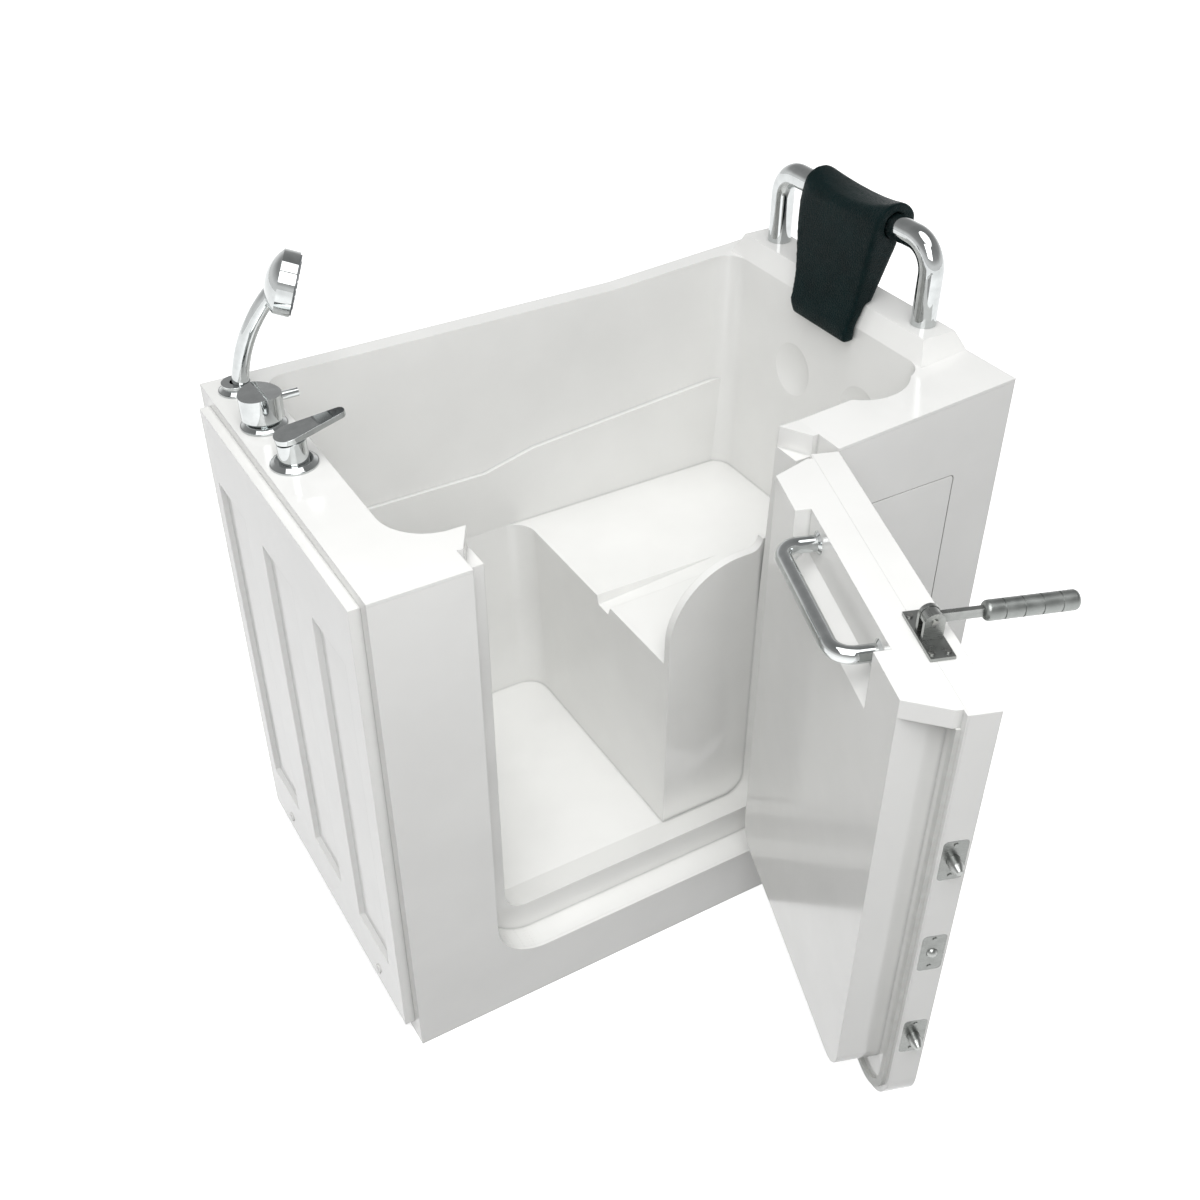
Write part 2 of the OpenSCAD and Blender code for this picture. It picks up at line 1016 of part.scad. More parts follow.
module cap_outline() {
  polygon([
    [x_slab_left + cap_inset, y_slab], [x_slab_left + cap_inset, y_front + cap_depth],
    [x_slab_left + cap_far_inset - cap_inset / 2, y_door], [x_slab_right - cap_far_inset, y_door],
    [x_slab_right - cap_inset, y_front + cap_depth], [x_slab_right - cap_inset, y_slab]
  ]);
}

// Inner face of the door, with its plug, cap and recess
module door_inner_panel() {
  left = x_left + plug_inset + seam;
  right = x_right - plug_inset - seam;
  color("white") swung()
    difference() {
      union() {
        along_y(y_slab, y_flange)
          opening(x_slab_left, x_slab_right, slab_foot, door_top, slab_radius);
        along_y(y_slab, y_door)
          opening(left, right, plug_foot, door_top, plug_radius);
        upright(cap_foot, door_top)
          cap_outline();
      }
      difference() {
        along_y(y_slab - cut, y_door - skin)
          opening(left + skin, right - skin, plug_foot + skin, door_top - skin, plug_radius - skin);
        pocket(skin);
      }
      pocket(0);
    bracket_screw_places()
      translate([0, 0, -skin - skim])
        cylinder(r = bracket_screw_radius, h = cut);
      bar_bolt_places()
        cylinder(r = bar_bolt_radius, h = cut + cut, center = true);
    }
}

// Seal round the plug, under the cap
module door_gasket() {
  color("dimgray") swung()
    difference() {
      along_y(y_flange, y_flange + seal_thickness)
        opening(
          x_slab_left + seal_inset, x_slab_right - seal_inset,
          slab_foot + seal_inset, cap_foot, slab_radius - seal_inset
        );
      along_y(y_flange - cut, y_flange + cut)
        opening(
          x_slab_left + seal_inset + seal_width, x_slab_right - seal_inset - seal_width,
          slab_foot + seal_inset + seal_width, sky, slab_radius - seal_inset - seal_width
        );
    }
}

module bar_bolt_places() {
  for (x = [x_bar, x_bar - handle_span])
    translate([x, y_pocket, z_bar])
      rotate([90, 0, 0])
        children();
}

// A round tube bent like a bridge: two legs and a grip, lying in the XY plane
module bridge(span, reach, bend, radius) {
  for (side = [0, 1])
    translate([side * span, 0, 0])
      rotate([-90, 0, 0])
        cylinder(r = radius, h = reach - bend);
  translate([bend, reach, 0])
    rotate([0, 90, 0])
      cylinder(r = radius, h = span - bend - bend);
  translate([bend, reach - bend, 0])
    rotate([0, 0, 90])
      rotate_extrude(angle = 90)
        translate([bend, 0])
          circle(r = radius);
  translate([span - bend, reach - bend, 0])
    rotate_extrude(angle = 90)
      translate([bend, 0])
        circle(r = radius);
}

// Chrome handle on the inner side of the door
module door_grab_bar() {
  color("silver") swung()
    translate([x_bar - handle_span, y_pocket, z_bar])
      difference() {
        union() {
          bridge(handle_span, handle_reach, bar_bend, handle_diameter / 2);
          for (side = [0, 1])
            translate([side * handle_span, 0, 0])
              rotate([-90, 0, 0])
                cylinder(r1 = bar_foot_radius, r2 = handle_diameter / 2, h = bar_foot_height);
        }
        for (side = [0, 1])
          translate([side * handle_span, -cut, 0])
            rotate([-90, 0, 0])
              cylinder(r = bar_bolt_radius, h = cut + bar_bolt_length);
      }
}

// Bolts that hold the handle from inside the door
module door_bar_bolts() {
  color("gray") swung()
    bar_bolt_places() {
      translate([0, 0, -bar_bolt_length])
        cylinder(r = bar_bolt_radius, h = bar_bolt_length + skin);
      translate([0, 0, skin])
        cylinder(r = bar_bolt_head, h = bar_bolt_radius, $fn = 6);
    }
}

// Plates on the door's free edge
module latch_faceplates() {
  color("silver") swung()
    difference() {
      plate_shape(0);
      bolt_holes(cut);
      latch_screw_shanks(x_slab_left - cut, x_slab_left + cut);
    }
}

module latch_screws() {
  color("silver") swung() {
    latch_screw_shanks(x_slab_left, x_slab_left + screw_length);
    for (z = latch_heights)
      for (side = [-1, 1])
        bar_x(
          x_slab_left - screw_head, x_slab_left,
          y_latch, z + side * (plate_height / 2 - screw_inset), screw_radius
        );
  }
}

// Boxes that the bolts slide in
module latch_cases() {
  start = x_slab_left + skin;
  color("gray") swung()
    for (z = latch_heights)
      difference() {
        block(
          [start, y_latch - case_width / 2, z - case_height / 2],
          [start + case_depth, y_latch + case_width / 2, z + case_height / 2]
        );
        block(
          [start - skim, y_latch - case_width / 2 + case_wall, z - case_height / 2 + case_wall],
          [
            start + case_depth - case_wall,
            y_latch + case_width / 2 - case_wall,
            z + case_height / 2 - case_wall
          ]
        );
      }
}

module bolt(z) {
  tip = x_slab_left - bolt_reach;
  taper = bolt_reach * bolt_taper_share;
  color("silver") swung() {
    bar_x(tip + taper, tip + bolt_length, y_latch, z, bolt_diameter / 2);
    translate([tip, y_latch, z])
      rotate([0, 90, 0])
        cylinder(r1 = bolt_diameter / 2 * bolt_taper_share, r2 = bolt_diameter / 2, h = taper);
  }
}

module upper_bolt() {
  bolt(upper_bolt_height);
}

module lower_bolt() {
  bolt(lower_bolt_height);
}

// Sprung button between the two bolts
module middle_catch() {
  dome = (pow(catch_radius, 2) + pow(catch_reach, 2)) / (2 * catch_reach);
  color("silver") swung()
    difference() {
      union() {
        bar_x(
          x_slab_left, x_slab_left + bolt_length - bolt_reach,
          y_latch, middle_catch_height, catch_radius
        );
        intersection() {
          translate([x_slab_left - catch_reach + dome, y_latch, middle_catch_height])
            sphere(r = dome);
          bar_x(
            x_slab_left - catch_reach, x_slab_left + skim,
            y_latch, middle_catch_height, catch_radius
          );
        }
      }
      bar_x(
        x_slab_left + skin, x_slab_left + cut,
        y_latch, middle_catch_height, catch_radius - case_wall
      );
    }
}

// Rod from the lever down to both bolts, cranked clear of the latch boxes
module latch_rod() {
  x_rod = x_lever - rod_place;
  color("gray") swung() {
    bar_z(x_lever, y_lever, rod_bend, rod_top, rod_radius);
    bar_x(x_rod, x_lever, y_lever, rod_bend, rod_radius);
    bar_z(x_rod, y_lever, rod_foot, rod_bend, rod_radius);
    for (x = [x_rod, x_lever])
      translate([x, y_lever, rod_bend])
        sphere(r = rod_radius);
  }
}

// Seat of the lever on top of the door
module lever_bracket() {
  ear_start = eye_thickness / 2 + seam;
  color("dimgray") swung()
    difference() {
      union() {
        block(
          [x_lever - bracket_length / 2, y_lever - bracket_width / 2, door_top],
          [x_lever + bracket_length / 2, y_lever + bracket_width / 2, door_top + bracket_thickness]
        );
        for (x = [x_lever - ear_start - ear_thickness, x_lever + ear_start]) {
          block(
            [x, y_lever - ear_radius, door_top + bracket_thickness / 2],
            [x + ear_thickness, y_lever + ear_radius, z_lever]
          );
          bar_x(x, x + ear_thickness, y_lever, z_lever, ear_radius);
        }
      }
      rod_hole();
      bar_x(x_lever - cut, x_lever + cut, y_lever, z_lever, pivot_radius);
      bracket_screw_places()
        translate([0, 0, -cut])
          cylinder(r = bracket_screw_radius, h = cut + cut);
    }
}

module bracket_screws() {
  color("silver") swung()
    bracket_screw_places() {
      translate([0, 0, bracket_thickness])
        cylinder(r = bracket_head_radius, h = bracket_head);
      translate([0, 0, -skin])
        cylinder(r = bracket_screw_radius, h = skin + bracket_thickness);
    }
}

module lever_pivot_pin() {
  half = eye_thickness / 2 + seam + ear_thickness;
  color("silver") swung() {
    bar_x(x_lever - half, x_lever + half, y_lever, z_lever, pivot_radius);
    for (x = [x_lever - half - bracket_head, x_lever + half])
      bar_x(x, x + bracket_head, y_lever, z_lever, pivot_radius + bracket_head / 2);
  }
}

module lever_bar(near, grow) {
  block(
    [x_lever - bar_thickness / 2 - grow, near, z_lever - bar_height / 2 - grow],
    [x_lever + bar_thickness / 2 + grow, y_lever - pivot_radius - bar_thickness / 2, z_lever + bar_height / 2 + grow]
  );
}

// Flat lever that draws both bolts
module latch_lever() {
  tip = y_lever - lever_length;
  color("dimgray") swung()
    difference() {
      union() {
        bar_x(x_lever - eye_thickness / 2, x_lever + eye_thickness / 2, y_lever, z_lever, eye_radius);
        lever_bar(tip + grip_diameter, 0);
      }
      bar_x(x_lever - cut, x_lever + cut, y_lever, z_lever, pivot_radius + seam);
    }
}

module lever_grip() {
  tip = y_lever - lever_length;
  crown = grip_diameter / 4;
  pitch = grip_length / 5;
  color("dimgray") swung()
    difference() {
      union() {
        bar_y(x_lever, tip + crown, tip + grip_length - crown, z_lever, grip_diameter / 2);
        for (y = [tip + crown, tip + grip_length - crown])
          translate([x_lever, y, z_lever])
            rotate([90, 0, 0])
              rotate_extrude()
                intersection() {
                  union() {
                    translate([grip_diameter / 2 - crown, 0])
                      circle(r = crown);
                    translate([0, -crown])
                      square([grip_diameter / 2 - crown, crown + crown]);
                  }
                  translate([0, -cut])
                    square([cut, cut + cut]);
                }
      }
      for (i = [1 : 4])
        difference() {
          bar_y(
            x_lever, tip + pitch * i - groove_width / 2, tip + pitch * i + groove_width / 2,
            z_lever, grip_diameter
          );
          bar_y(
            x_lever, tip + pitch * i - groove_width, tip + pitch * i + groove_width,
            z_lever, grip_diameter / 2 - groove_depth
          );
        }
      lever_bar(tip + grip_diameter, 0);
    }
}

module door_leaf_shape(grow) {
  for (z = hinge_heights)
    block(
      [x_slab_right - leaf_thickness, y_front - grow, z - hinge_length / 2],
      [x_slab_right + grow, y_front + leaf_width, z + hinge_length / 2]
    );
}

// Lengths of the knuckles: the door has the middle one, the jamb the outer two
module door_knuckles(radius, grow) {
  at_hinges()
    translate([0, 0, hinge_length * (1 - knuckle_share) / 2 - grow])
      cylinder(r = radius, h = hinge_length * knuckle_share + grow + grow);
}

module hinge_leaves_door() {
  color("silver") swung()
    difference() {
      union() {
        difference() {
          door_leaf_shape(0);
          difference() {
            at_hinges()
              cylinder(r = knuckle_radius + seam, h = hinge_length);
            door_knuckles(knuckle_radius + cut, 0);
          }
        }
        door_knuckles(knuckle_radius, 0);
      }
      at_hinges()
        translate([0, 0, -cut])
          cylinder(r = hinge_pin_radius + seam, h = hinge_length + cut + cut);
    }
}

module hinge_leaves_jamb() {
  color("silver") difference() {
    union() {
      for (z = hinge_heights)
        block(
          [x_right, y_front, z - hinge_length / 2],
          [x_right + leaf_thickness, y_front + leaf_width, z + hinge_length / 2]
        );
      at_hinges()
        cylinder(r = knuckle_radius, h = hinge_length);
    }
    door_knuckles(knuckle_radius + seam, seam);
    at_hinges()
      translate([0, 0, -cut])
        cylinder(r = hinge_pin_radius, h = hinge_length + cut + cut);
  }
}

module hinge_pins() {
  color("silver") at_hinges() {
    cylinder(r = hinge_pin_radius, h = hinge_length);
    translate([0, 0, hinge_length])
      cylinder(r = knuckle_radius - seam, h = hinge_pin_radius);
  }
}

// Plates that the bolts enter, let into the left side of the doorway
module strike_plates() {
  color("silver") difference() {
    for (z = latch_heights)
      block(
        [x_left - plate_thickness, y_latch - strike_width / 2, z - strike_height / 2],
        [x_left, y_latch + strike_width / 2, z + strike_height / 2]
      );
    for (z = latch_heights)
      bar_x(x_left - cut, x_left + cut, y_latch, z, bolt_diameter / 2 + strike_clear);
    strike_screw_shanks();
  }
}

module strike_screw_shanks() {
  for (z = latch_heights)
    for (side = [-1, 1])
      bar_x(x_left - wall, x_left, y_latch, z + side * (strike_height / 2 - screw_inset), screw_shank);
}

module strike_screws() {
  color("silver") {
    strike_screw_shanks();
    for (z = latch_heights)
      for (side = [-1, 1])
        bar_x(x_left, x_left + screw_head, y_latch, z + side * (strike_height / 2 - screw_inset), screw_radius);
  }
}

// Screwed panel at the tap end, with three sunk fields
module end_access_panel() {
  face = x_tap - end_panel_thickness;
  near = y_front + panel_near;
  far = y_back - panel_far;
  color("white") difference() {
    block([face, near, panel_foot], [x_tap, far, deck_height - panel_head]);
    for (i = [-1 : 1])
      end_field(face, y_front + field_shift + i * field_pitch);
    cap_places()
      cylinder(r = cap_radius, h = cap_rise + cap_rise, center = true);
  }
}

module end_field(face, y) {
  foot = field_foot;
  head = field_head;
  translate([face + field_depth, y, 0])
    intersection() {
      rotate([0, 0, 90])
        upright(foot - field_bevel, head + field_bevel)
          polygon([
            [-field_width / 2 - field_bevel, field_depth + skim], [-field_width / 2, 0],
            [field_width / 2, 0], [field_width / 2 + field_bevel, field_depth + skim]
          ]);
      rotate([90, 0, 180])
        translate([0, 0, -field_width])
          linear_extrude(height = field_width + field_width)
            polygon([
              [field_depth + skim, foot - field_bevel], [0, foot],
              [0, head], [field_depth + skim, head + field_bevel]
            ]);
    }
}

module cap_places() {
  for (side = [-1, 1])
    translate([x_tap - end_panel_thickness, y_front + field_shift + side * cap_spread / 2, cap_level_low])
      rotate([0, -90, 0])
        children();
}

module end_panel_caps() {
  color("whitesmoke") cap_places()
    translate([0, 0, -cap_rise])
      cylinder(r = cap_radius, h = cap_rise + cap_rise);
}

// A square tube between two corners, open at the ends that face the given axis
module tube_x(near, far, y, z, size) {
  along_x(near, far)
    translate([y, z])
      difference() {
        translate([-size / 2, 0])
          square(size);
        translate([-size / 2 + tube_wall, tube_wall])
          square(size - tube_wall - tube_wall);
      }
}

module tube_y(x, near, far, z, size) {
  along_y(near, far)
    translate([x, z])
      difference() {
        translate([-size / 2, 0])
          square(size);
        translate([-size / 2 + tube_wall, tube_wall])
          square(size - tube_wall - tube_wall);
      }
}

module tube_z(x, y, low, high, size) {
  upright(low, high)
    translate([x, y])
      difference() {
        square(size, center = true);
        square(size - tube_wall - tube_wall, center = true);
      }
}

module foot_places_all() {
  for (x = foot_places)
    for (y = [y_near_rail, y_far_rail])
      translate([x_tap + x, y, 0])
        children();
}

module base_rails() {
  color("slategray") difference() {
    for (y = [y_near_rail, y_far_rail])
      tube_x(x_tap + rail_end_gap, x_seat - rail_end_gap, y, rail_foot, tube_size);
    foot_places_all()
      cylinder(r = foot_stem_radius + seam, h = rail_foot + tube_size / 2);
  }
}

module cross_bearers() {
  color("slategray") difference() {
    for (x = bearer_places)
      tube_y(x_tap + x, y_front + bearer_near, y_back - bearer_far, z_bearer, tube_size);
    translate([x_tap + middle_bearer_place, y_front + tub_depth / 2, 0])
      cylinder(r = foot_stem_radius + seam, h = z_bearer + tube_size / 2);
  }
}

// Posts and bearers below the seat
module seat_frame() {
  color("slategray") {
    for (x = seat_post_places)
      for (y = [y_near_rail, y_far_rail])
        tube_z(x_tap + x, y, rail_foot + tube_size, seat_height - wall - tube_size - seam, tube_size);
    for (y = [y_near_rail, y_far_rail])
      tube_x(
        x_riser + tube_size / 2, x_rest - end_lean - tube_size,
        y, seat_height - wall - tube_size, tube_size
      );
  }
}

// Posts and rail below the back rim
module rim_frame() {
  y = y_back - rim_tube_near - rim_tube / 2;
  color("slategray") {
    for (x = rim_post_places)
      tube_z(x_tap + x, y, z_bearer + tube_size, deck_height - wall - rim_tube - seam, rim_tube);
    tube_x(x_tap + rim_tube_end, x_right - rim_tube_end, y, deck_height - wall - rim_tube, rim_tube);
  }
}

// Levelling foot, its stem longer where it stands under a bearer
module levelling_foot(x, y, rise = 0) {
  color("black") translate([x_tap + x, y, 0]) {
    cylinder(r1 = foot_diameter / 2, r2 = foot_diameter / 2 - foot_height / 2, h = foot_height);
    cylinder(r = foot_stem_radius, h = foot_stem_top + rise);
  }
}

module foot_tap_front() {
  levelling_foot(foot_places[0], y_near_rail);
}

module foot_tap_rear() {
  levelling_foot(foot_places[0], y_far_rail);
}

module foot_seat_front() {
  levelling_foot(foot_places[1], y_near_rail);
}

module foot_seat_rear() {
  levelling_foot(foot_places[1], y_far_rail);
}

module foot_middle() {
  levelling_foot(middle_bearer_place, y_front + tub_depth / 2, z_bearer - rail_foot);
}

module foot_nut(level) {
  translate([0, 0, level - foot_nut_height])
    difference() {
      cylinder(r = foot_nut_radius, h = foot_nut_height, $fn = 6);
      translate([0, 0, -skim])
        cylinder(r = foot_stem_radius + seam, h = foot_nut_height + skim + skim);
    }
}

module foot_nuts() {
  color("silver") {
    foot_places_all()
      foot_nut(rail_foot);
    translate([x_tap + middle_bearer_place, y_front + tub_depth / 2, 0])
      foot_nut(z_bearer);
  }
}

// Drain fitting clamped through the floor
module drain_body() {
  color("silver") difference() {
    union() {
      bar_z(x_drain, y_drain, drain_low, floor_height + skim, drain_radius);
      bar_z(x_drain, y_drain, floor_height, floor_height + drain_lip, drain_flange);
      bar_z(
        x_drain, y_drain, floor_height - wall - drain_nut_height, floor_height - wall,
        drain_nut_radius
      );
      bar_x(x_drain - branch_length, x_drain, y_drain, branch_level, branch_radius);
    }
    bar_z(x_drain, y_drain, drain_low - skim, floor_height + cut, drain_bore);
    bar_x(x_drain - branch_length - skim, x_drain, y_drain, branch_level, pipe_radius);
  }
}

module drain_plug() {
  seat = floor_height + drain_lip + seam;
  color("silver") {
    bar_z(x_drain, y_drain, seat, seat + plug_disc_height, plug_disc_radius);
    bar_z(x_drain, y_drain, seat - plug_stem, seat + skim, plug_stem_radius);
  }
}

module waste_tailpiece() {
  color("gray") difference() {
    union() {
      bar_z(x_drain, y_drain, tail_low, drain_low, tail_radius);
      bar_z(x_drain, y_drain, drain_low - skim, drain_low + tail_overlap, tail_radius - seam);
    }
    bar_z(x_drain, y_drain, tail_low - skim, drain_low + cut, tail_radius - pipe_wall);
  }
}

module overflow_plate() {
  color("silver") difference() {
    union() {
      bar_x(x_basin, x_basin + overflow_plate_thickness, y_drain, overflow_level, overflow_plate_radius);
      bar_x(x_pipe + pipe_radius + seam, x_basin + skim, y_drain, overflow_level, overflow_radius);
    }
    bar_x(x_pipe - cut, x_basin, y_drain, overflow_level, overflow_radius - pipe_wall);
    bar_x(x_basin - cut, x_basin + cut, y_drain, overflow_level, overflow_shaft + seam);
  }
}

module overflow_knob() {
  face = x_basin + overflow_plate_thickness + seam;
  color("silver") {
    bar_x(face, face + overflow_knob_depth, y_drain, overflow_level, overflow_knob_radius);
    bar_x(x_basin - wall, face + skim, y_drain, overflow_level, overflow_shaft);
  }
}

// Elbow, down pipe and cross pipe from the overflow to the drain
module overflow_pipe() {
  elbow = overflow_radius + pipe_wall;
  color("gray") difference() {
    union() {
      bar_x(x_pipe - elbow, x_pipe + pipe_radius, y_drain, overflow_level, elbow);
      bar_z(x_pipe, y_drain, branch_level - pipe_radius, overflow_level, pipe_radius);
      bar_x(x_pipe - pipe_radius, x_drain - branch_length / 2, y_drain, branch_level, pipe_radius);
    }
    bar_x(x_pipe - overflow_radius, x_pipe + cut, y_drain, overflow_level, overflow_radius);
    bar_z(x_pipe, y_drain, branch_level, overflow_level, pipe_radius - pipe_wall);
    bar_x(x_pipe, x_drain, y_drain, branch_level, pipe_radius - pipe_wall);
  }
}

// Outlet that fills the tub through the tap-end wall
module fill_outlet() {
  shank = outlet_radius - seam;
  color("silver") difference() {
    union() {
      bar_x(x_basin - wall - back_nut - flange_height, x_basin + outlet_reach, y_diverter, outlet_level, shank);
      bar_x(x_basin, x_basin + flange_step, y_diverter, outlet_level, outlet_flange);
      bar_x(x_basin - wall - back_nut, x_basin - wall, y_diverter, outlet_level, outlet_flange - back_nut);
    }
    bar_x(x_basin - cut, x_basin + cut, y_diverter, outlet_level, outlet_bore);
  }
}

// Ring under a tap, with its thin step
module deck_flange(y, radius, height) {
  difference() {
    union() {
      bar_z(x_taps, y, deck_height, deck_height + flange_step, radius);
      translate([x_taps, y, deck_height + flange_step])
        cylinder(r1 = radius - flange_step / 2, r2 = radius - height, h = height - flange_step);
    }
    bar_z(x_taps, y, deck_height - cut, deck_height + cut, tap_spigot);
  }
}

module mixer_flange() {
  color("silver") deck_flange(y_mixer, flange_diameter / 2, flange_height);
}

module diverter_flange() {
  color("silver") deck_flange(y_diverter, flange_diameter / 2, flange_height);
}

module shower_flange() {
  color("silver") deck_flange(y_shower, shower_flange_radius, shower_flange_height);
}

module mixer_body() {
  color("silver") difference() {
    bar_z(
      x_taps, y_mixer, z_flange + seam,
      deck_height + lever_axis_rise + lever_lift, mixer_diameter / 2
    );
    translate([x_taps, y_mixer, deck_height + lever_axis_rise]) {
      for (turn = [lever_fall - lever_tilt, -lever_climb - lever_tilt])
        rotate([0, turn, 0])
          translate([-cut, -cut, lever_lift - lever_plate / 2 - seam])
            cube([cut + cut, cut + cut, cut]);
      rotate([90, 0, 0])
        cylinder(r = lever_hub + seam, h = lever_width / 2 + seam + seam, center = true);
    }
  }
}

// Lever of the mixer, round over its body and rising towards its tip
module mixer_lever() {
  r = lever_width / 2;
  tip = lever_tip_width / 2;
  reach = mixer_lever_length - r - tip;
  lean = asin((r - tip) / reach);
  color("silver") translate([x_taps, y_mixer, deck_height + lever_axis_rise])
    rotate([0, -lever_tilt, 0]) {
      translate([0, 0, lever_lift - lever_plate / 2])
        linear_extrude(height = lever_plate) {
          circle(r = r);
          translate([reach, 0])
            circle(r = tip);
          polygon([
            [r * sin(lean), -r * cos(lean)], [reach + tip * sin(lean), -tip * cos(lean)],
            [reach + tip * sin(lean), tip * cos(lean)], [r * sin(lean), r * cos(lean)]
          ]);
        }
      rotate([90, 0, 0])
        cylinder(r = lever_hub, h = lever_width / 2, center = true);
    }
}

// Knob of the diverter, its top cut off in two slanted planes
module diverter_knob() {
  foot = z_flange + seam;
  r = diverter_diameter / 2;
  color("silver") union() {
    difference() {
      union() {
        bar_z(x_taps, y_diverter, foot + diverter_foot, foot + diverter_height, r);
        translate([x_taps, y_diverter, foot])
          cylinder(r1 = r - diverter_foot, r2 = r, h = diverter_foot);
      }
      for (side = [90, 270])
        translate([x_taps, y_diverter, foot + diverter_height])
          rotate([0, 0, side])
            rotate([diverter_slant, 0, 0])
              translate([-cut, -diverter_height, 0])
                cube([cut + cut, diverter_height + skim, cut]);
    }
    bar_x(x_taps, x_taps + handle_pin_length, y_diverter, foot + handle_pin_level, handle_pin_radius);
  }
}

module valve(y, low) {
  difference() {
    union() {
      bar_z(x_taps, y, low, deck_height - wall, valve_radius);
      bar_z(x_taps, y, low, z_flange - flange_step, tap_spigot - seam);
    }
    bar_z(x_taps, y, low - cut, low + cut / 2, supply_radius);
  }
}

// Valves of the two taps and the gland of the hand shower
module deck_valves() {
  color("gray") {
    valve(y_mixer, deck_height - valve_height);
    valve(y_diverter, deck_height - valve_height);
    valve(y_shower, deck_height - gland_height);
  }
}

// Rigid pipes under the tap deck
module supply_pipes() {
  link = deck_height - valve_height + link_level / 2;
  low = deck_height - valve_height;
  r = supply_radius - running;
  color("chocolate") {
    for (side = [-1, 1])
      bar_z(x_taps, y_mixer + side * supply_spread / 2, supply_foot, low, r);
    bar_y(x_taps, y_mixer + valve_radius, y_diverter - valve_radius, link, r);
    bar_y(x_taps, y_diverter + valve_radius, y_shower - valve_radius, link, r);
    bar_z(x_taps, y_diverter, outlet_level, low, r);
    translate([x_taps, y_diverter, outlet_level])
      sphere(r = r);
    bar_x(x_taps, x_basin - wall - back_nut - flange_height, y_diverter, outlet_level, r);
  }
}

// The hand shower is drawn upright, then leant and turned
module leant() {
  translate([x_taps, y_shower, deck_height + shower_flange_height + skim])
    rotate([0, shower_tilt, -shower_facing])
      children();
}

module shower_collar() {
  foot = deck_height + shower_flange_height;
  color("silver") difference() {
    bar_z(x_taps, y_shower, foot + seam, foot + collar_height, collar_radius);
    bar_z(x_taps, y_shower, foot, foot + cut, collar_bore);
  }
}

module hand_shower_body() {
  r = shower_head_diameter / 2;
  foot = deck_height + shower_flange_height;
  dome = (pow(r, 2) + pow(shower_rim - shower_back, 2)) / (2 * (shower_rim - shower_back));
  turn = asin((shower_handle_length - shower_low) / shower_bend);
  color("silver") union() {
    difference() {
      leant()
        translate([shower_set + shower_bend, 0, shower_low])
          rotate([90, -180 + turn, 0])
            rotate_extrude(angle = turn + asin((shower_low + collar_height) / shower_bend))
              translate([shower_bend, 0])
                circle(r = shower_handle_diameter / 2);
      bar_z(x_taps, y_shower, deck_height - wall, foot + collar_height + seam, shower_head_diameter);
    }
    leant() {
      translate([0, 0, flange_step])
        rotate([0, 0, 90])
          cylinder(r = shower_stub_radius, h = collar_height + shower_stub);
      translate([0, 0, shower_neck])
        rotate([0, 90, 0])
          intersection() {
            cylinder(r = r, h = shower_face - face_thickness);
            translate([0, 0, shower_back + dome])
              rotate([90, 0, 0])
                sphere(r = dome);
          }
    }
  }
}

// Spray face with nozzles
module hand_shower_face() {
  reach = shower_head_diameter / 2 - face_margin;
  color("gray") leant()
    translate([0, 0, shower_neck])
      rotate([0, 90, 0]) {
        translate([0, 0, shower_face - face_thickness])
          cylinder(r = reach, h = face_thickness);
        for (ring = [1 : nozzle_rings])
          for (i = [0 : 6 * ring - 1])
            rotate([0, 0, i * 60 / ring])
              translate([reach * ring / (nozzle_rings + 1), 0, shower_face])
                cylinder(r = nozzle_radius, h = nozzle_proud, $fn = 12);
      }
}

// Rail over the backrest
module backrest_rail() {
  color("silver") {
    translate([x_rail, y_rail - rail_span / 2, block_height])
      rotate([0, 0, 90])
        rotate([90, 0, 0])
          bridge(rail_span, rail_height - block_height, rail_bend, rail_diameter / 2);
    rail_spigots(rail_spigot);
  }
}

module rail_spigots(radius) {
  for (y = [y_rail - rail_span / 2, y_rail + rail_span / 2])
    bar_z(x_rail, y, block_height - wall - rail_tail, block_height + skim, radius);
}

module rail_nuts() {
  color("gray") difference() {
    intersection() {
      rail_spigots(rail_nut_radius);
      block([x_rest, y_front, deck_height], [x_seat, y_back, block_height - wall]);
    }
    rail_spigots(rail_spigot);
  }
}

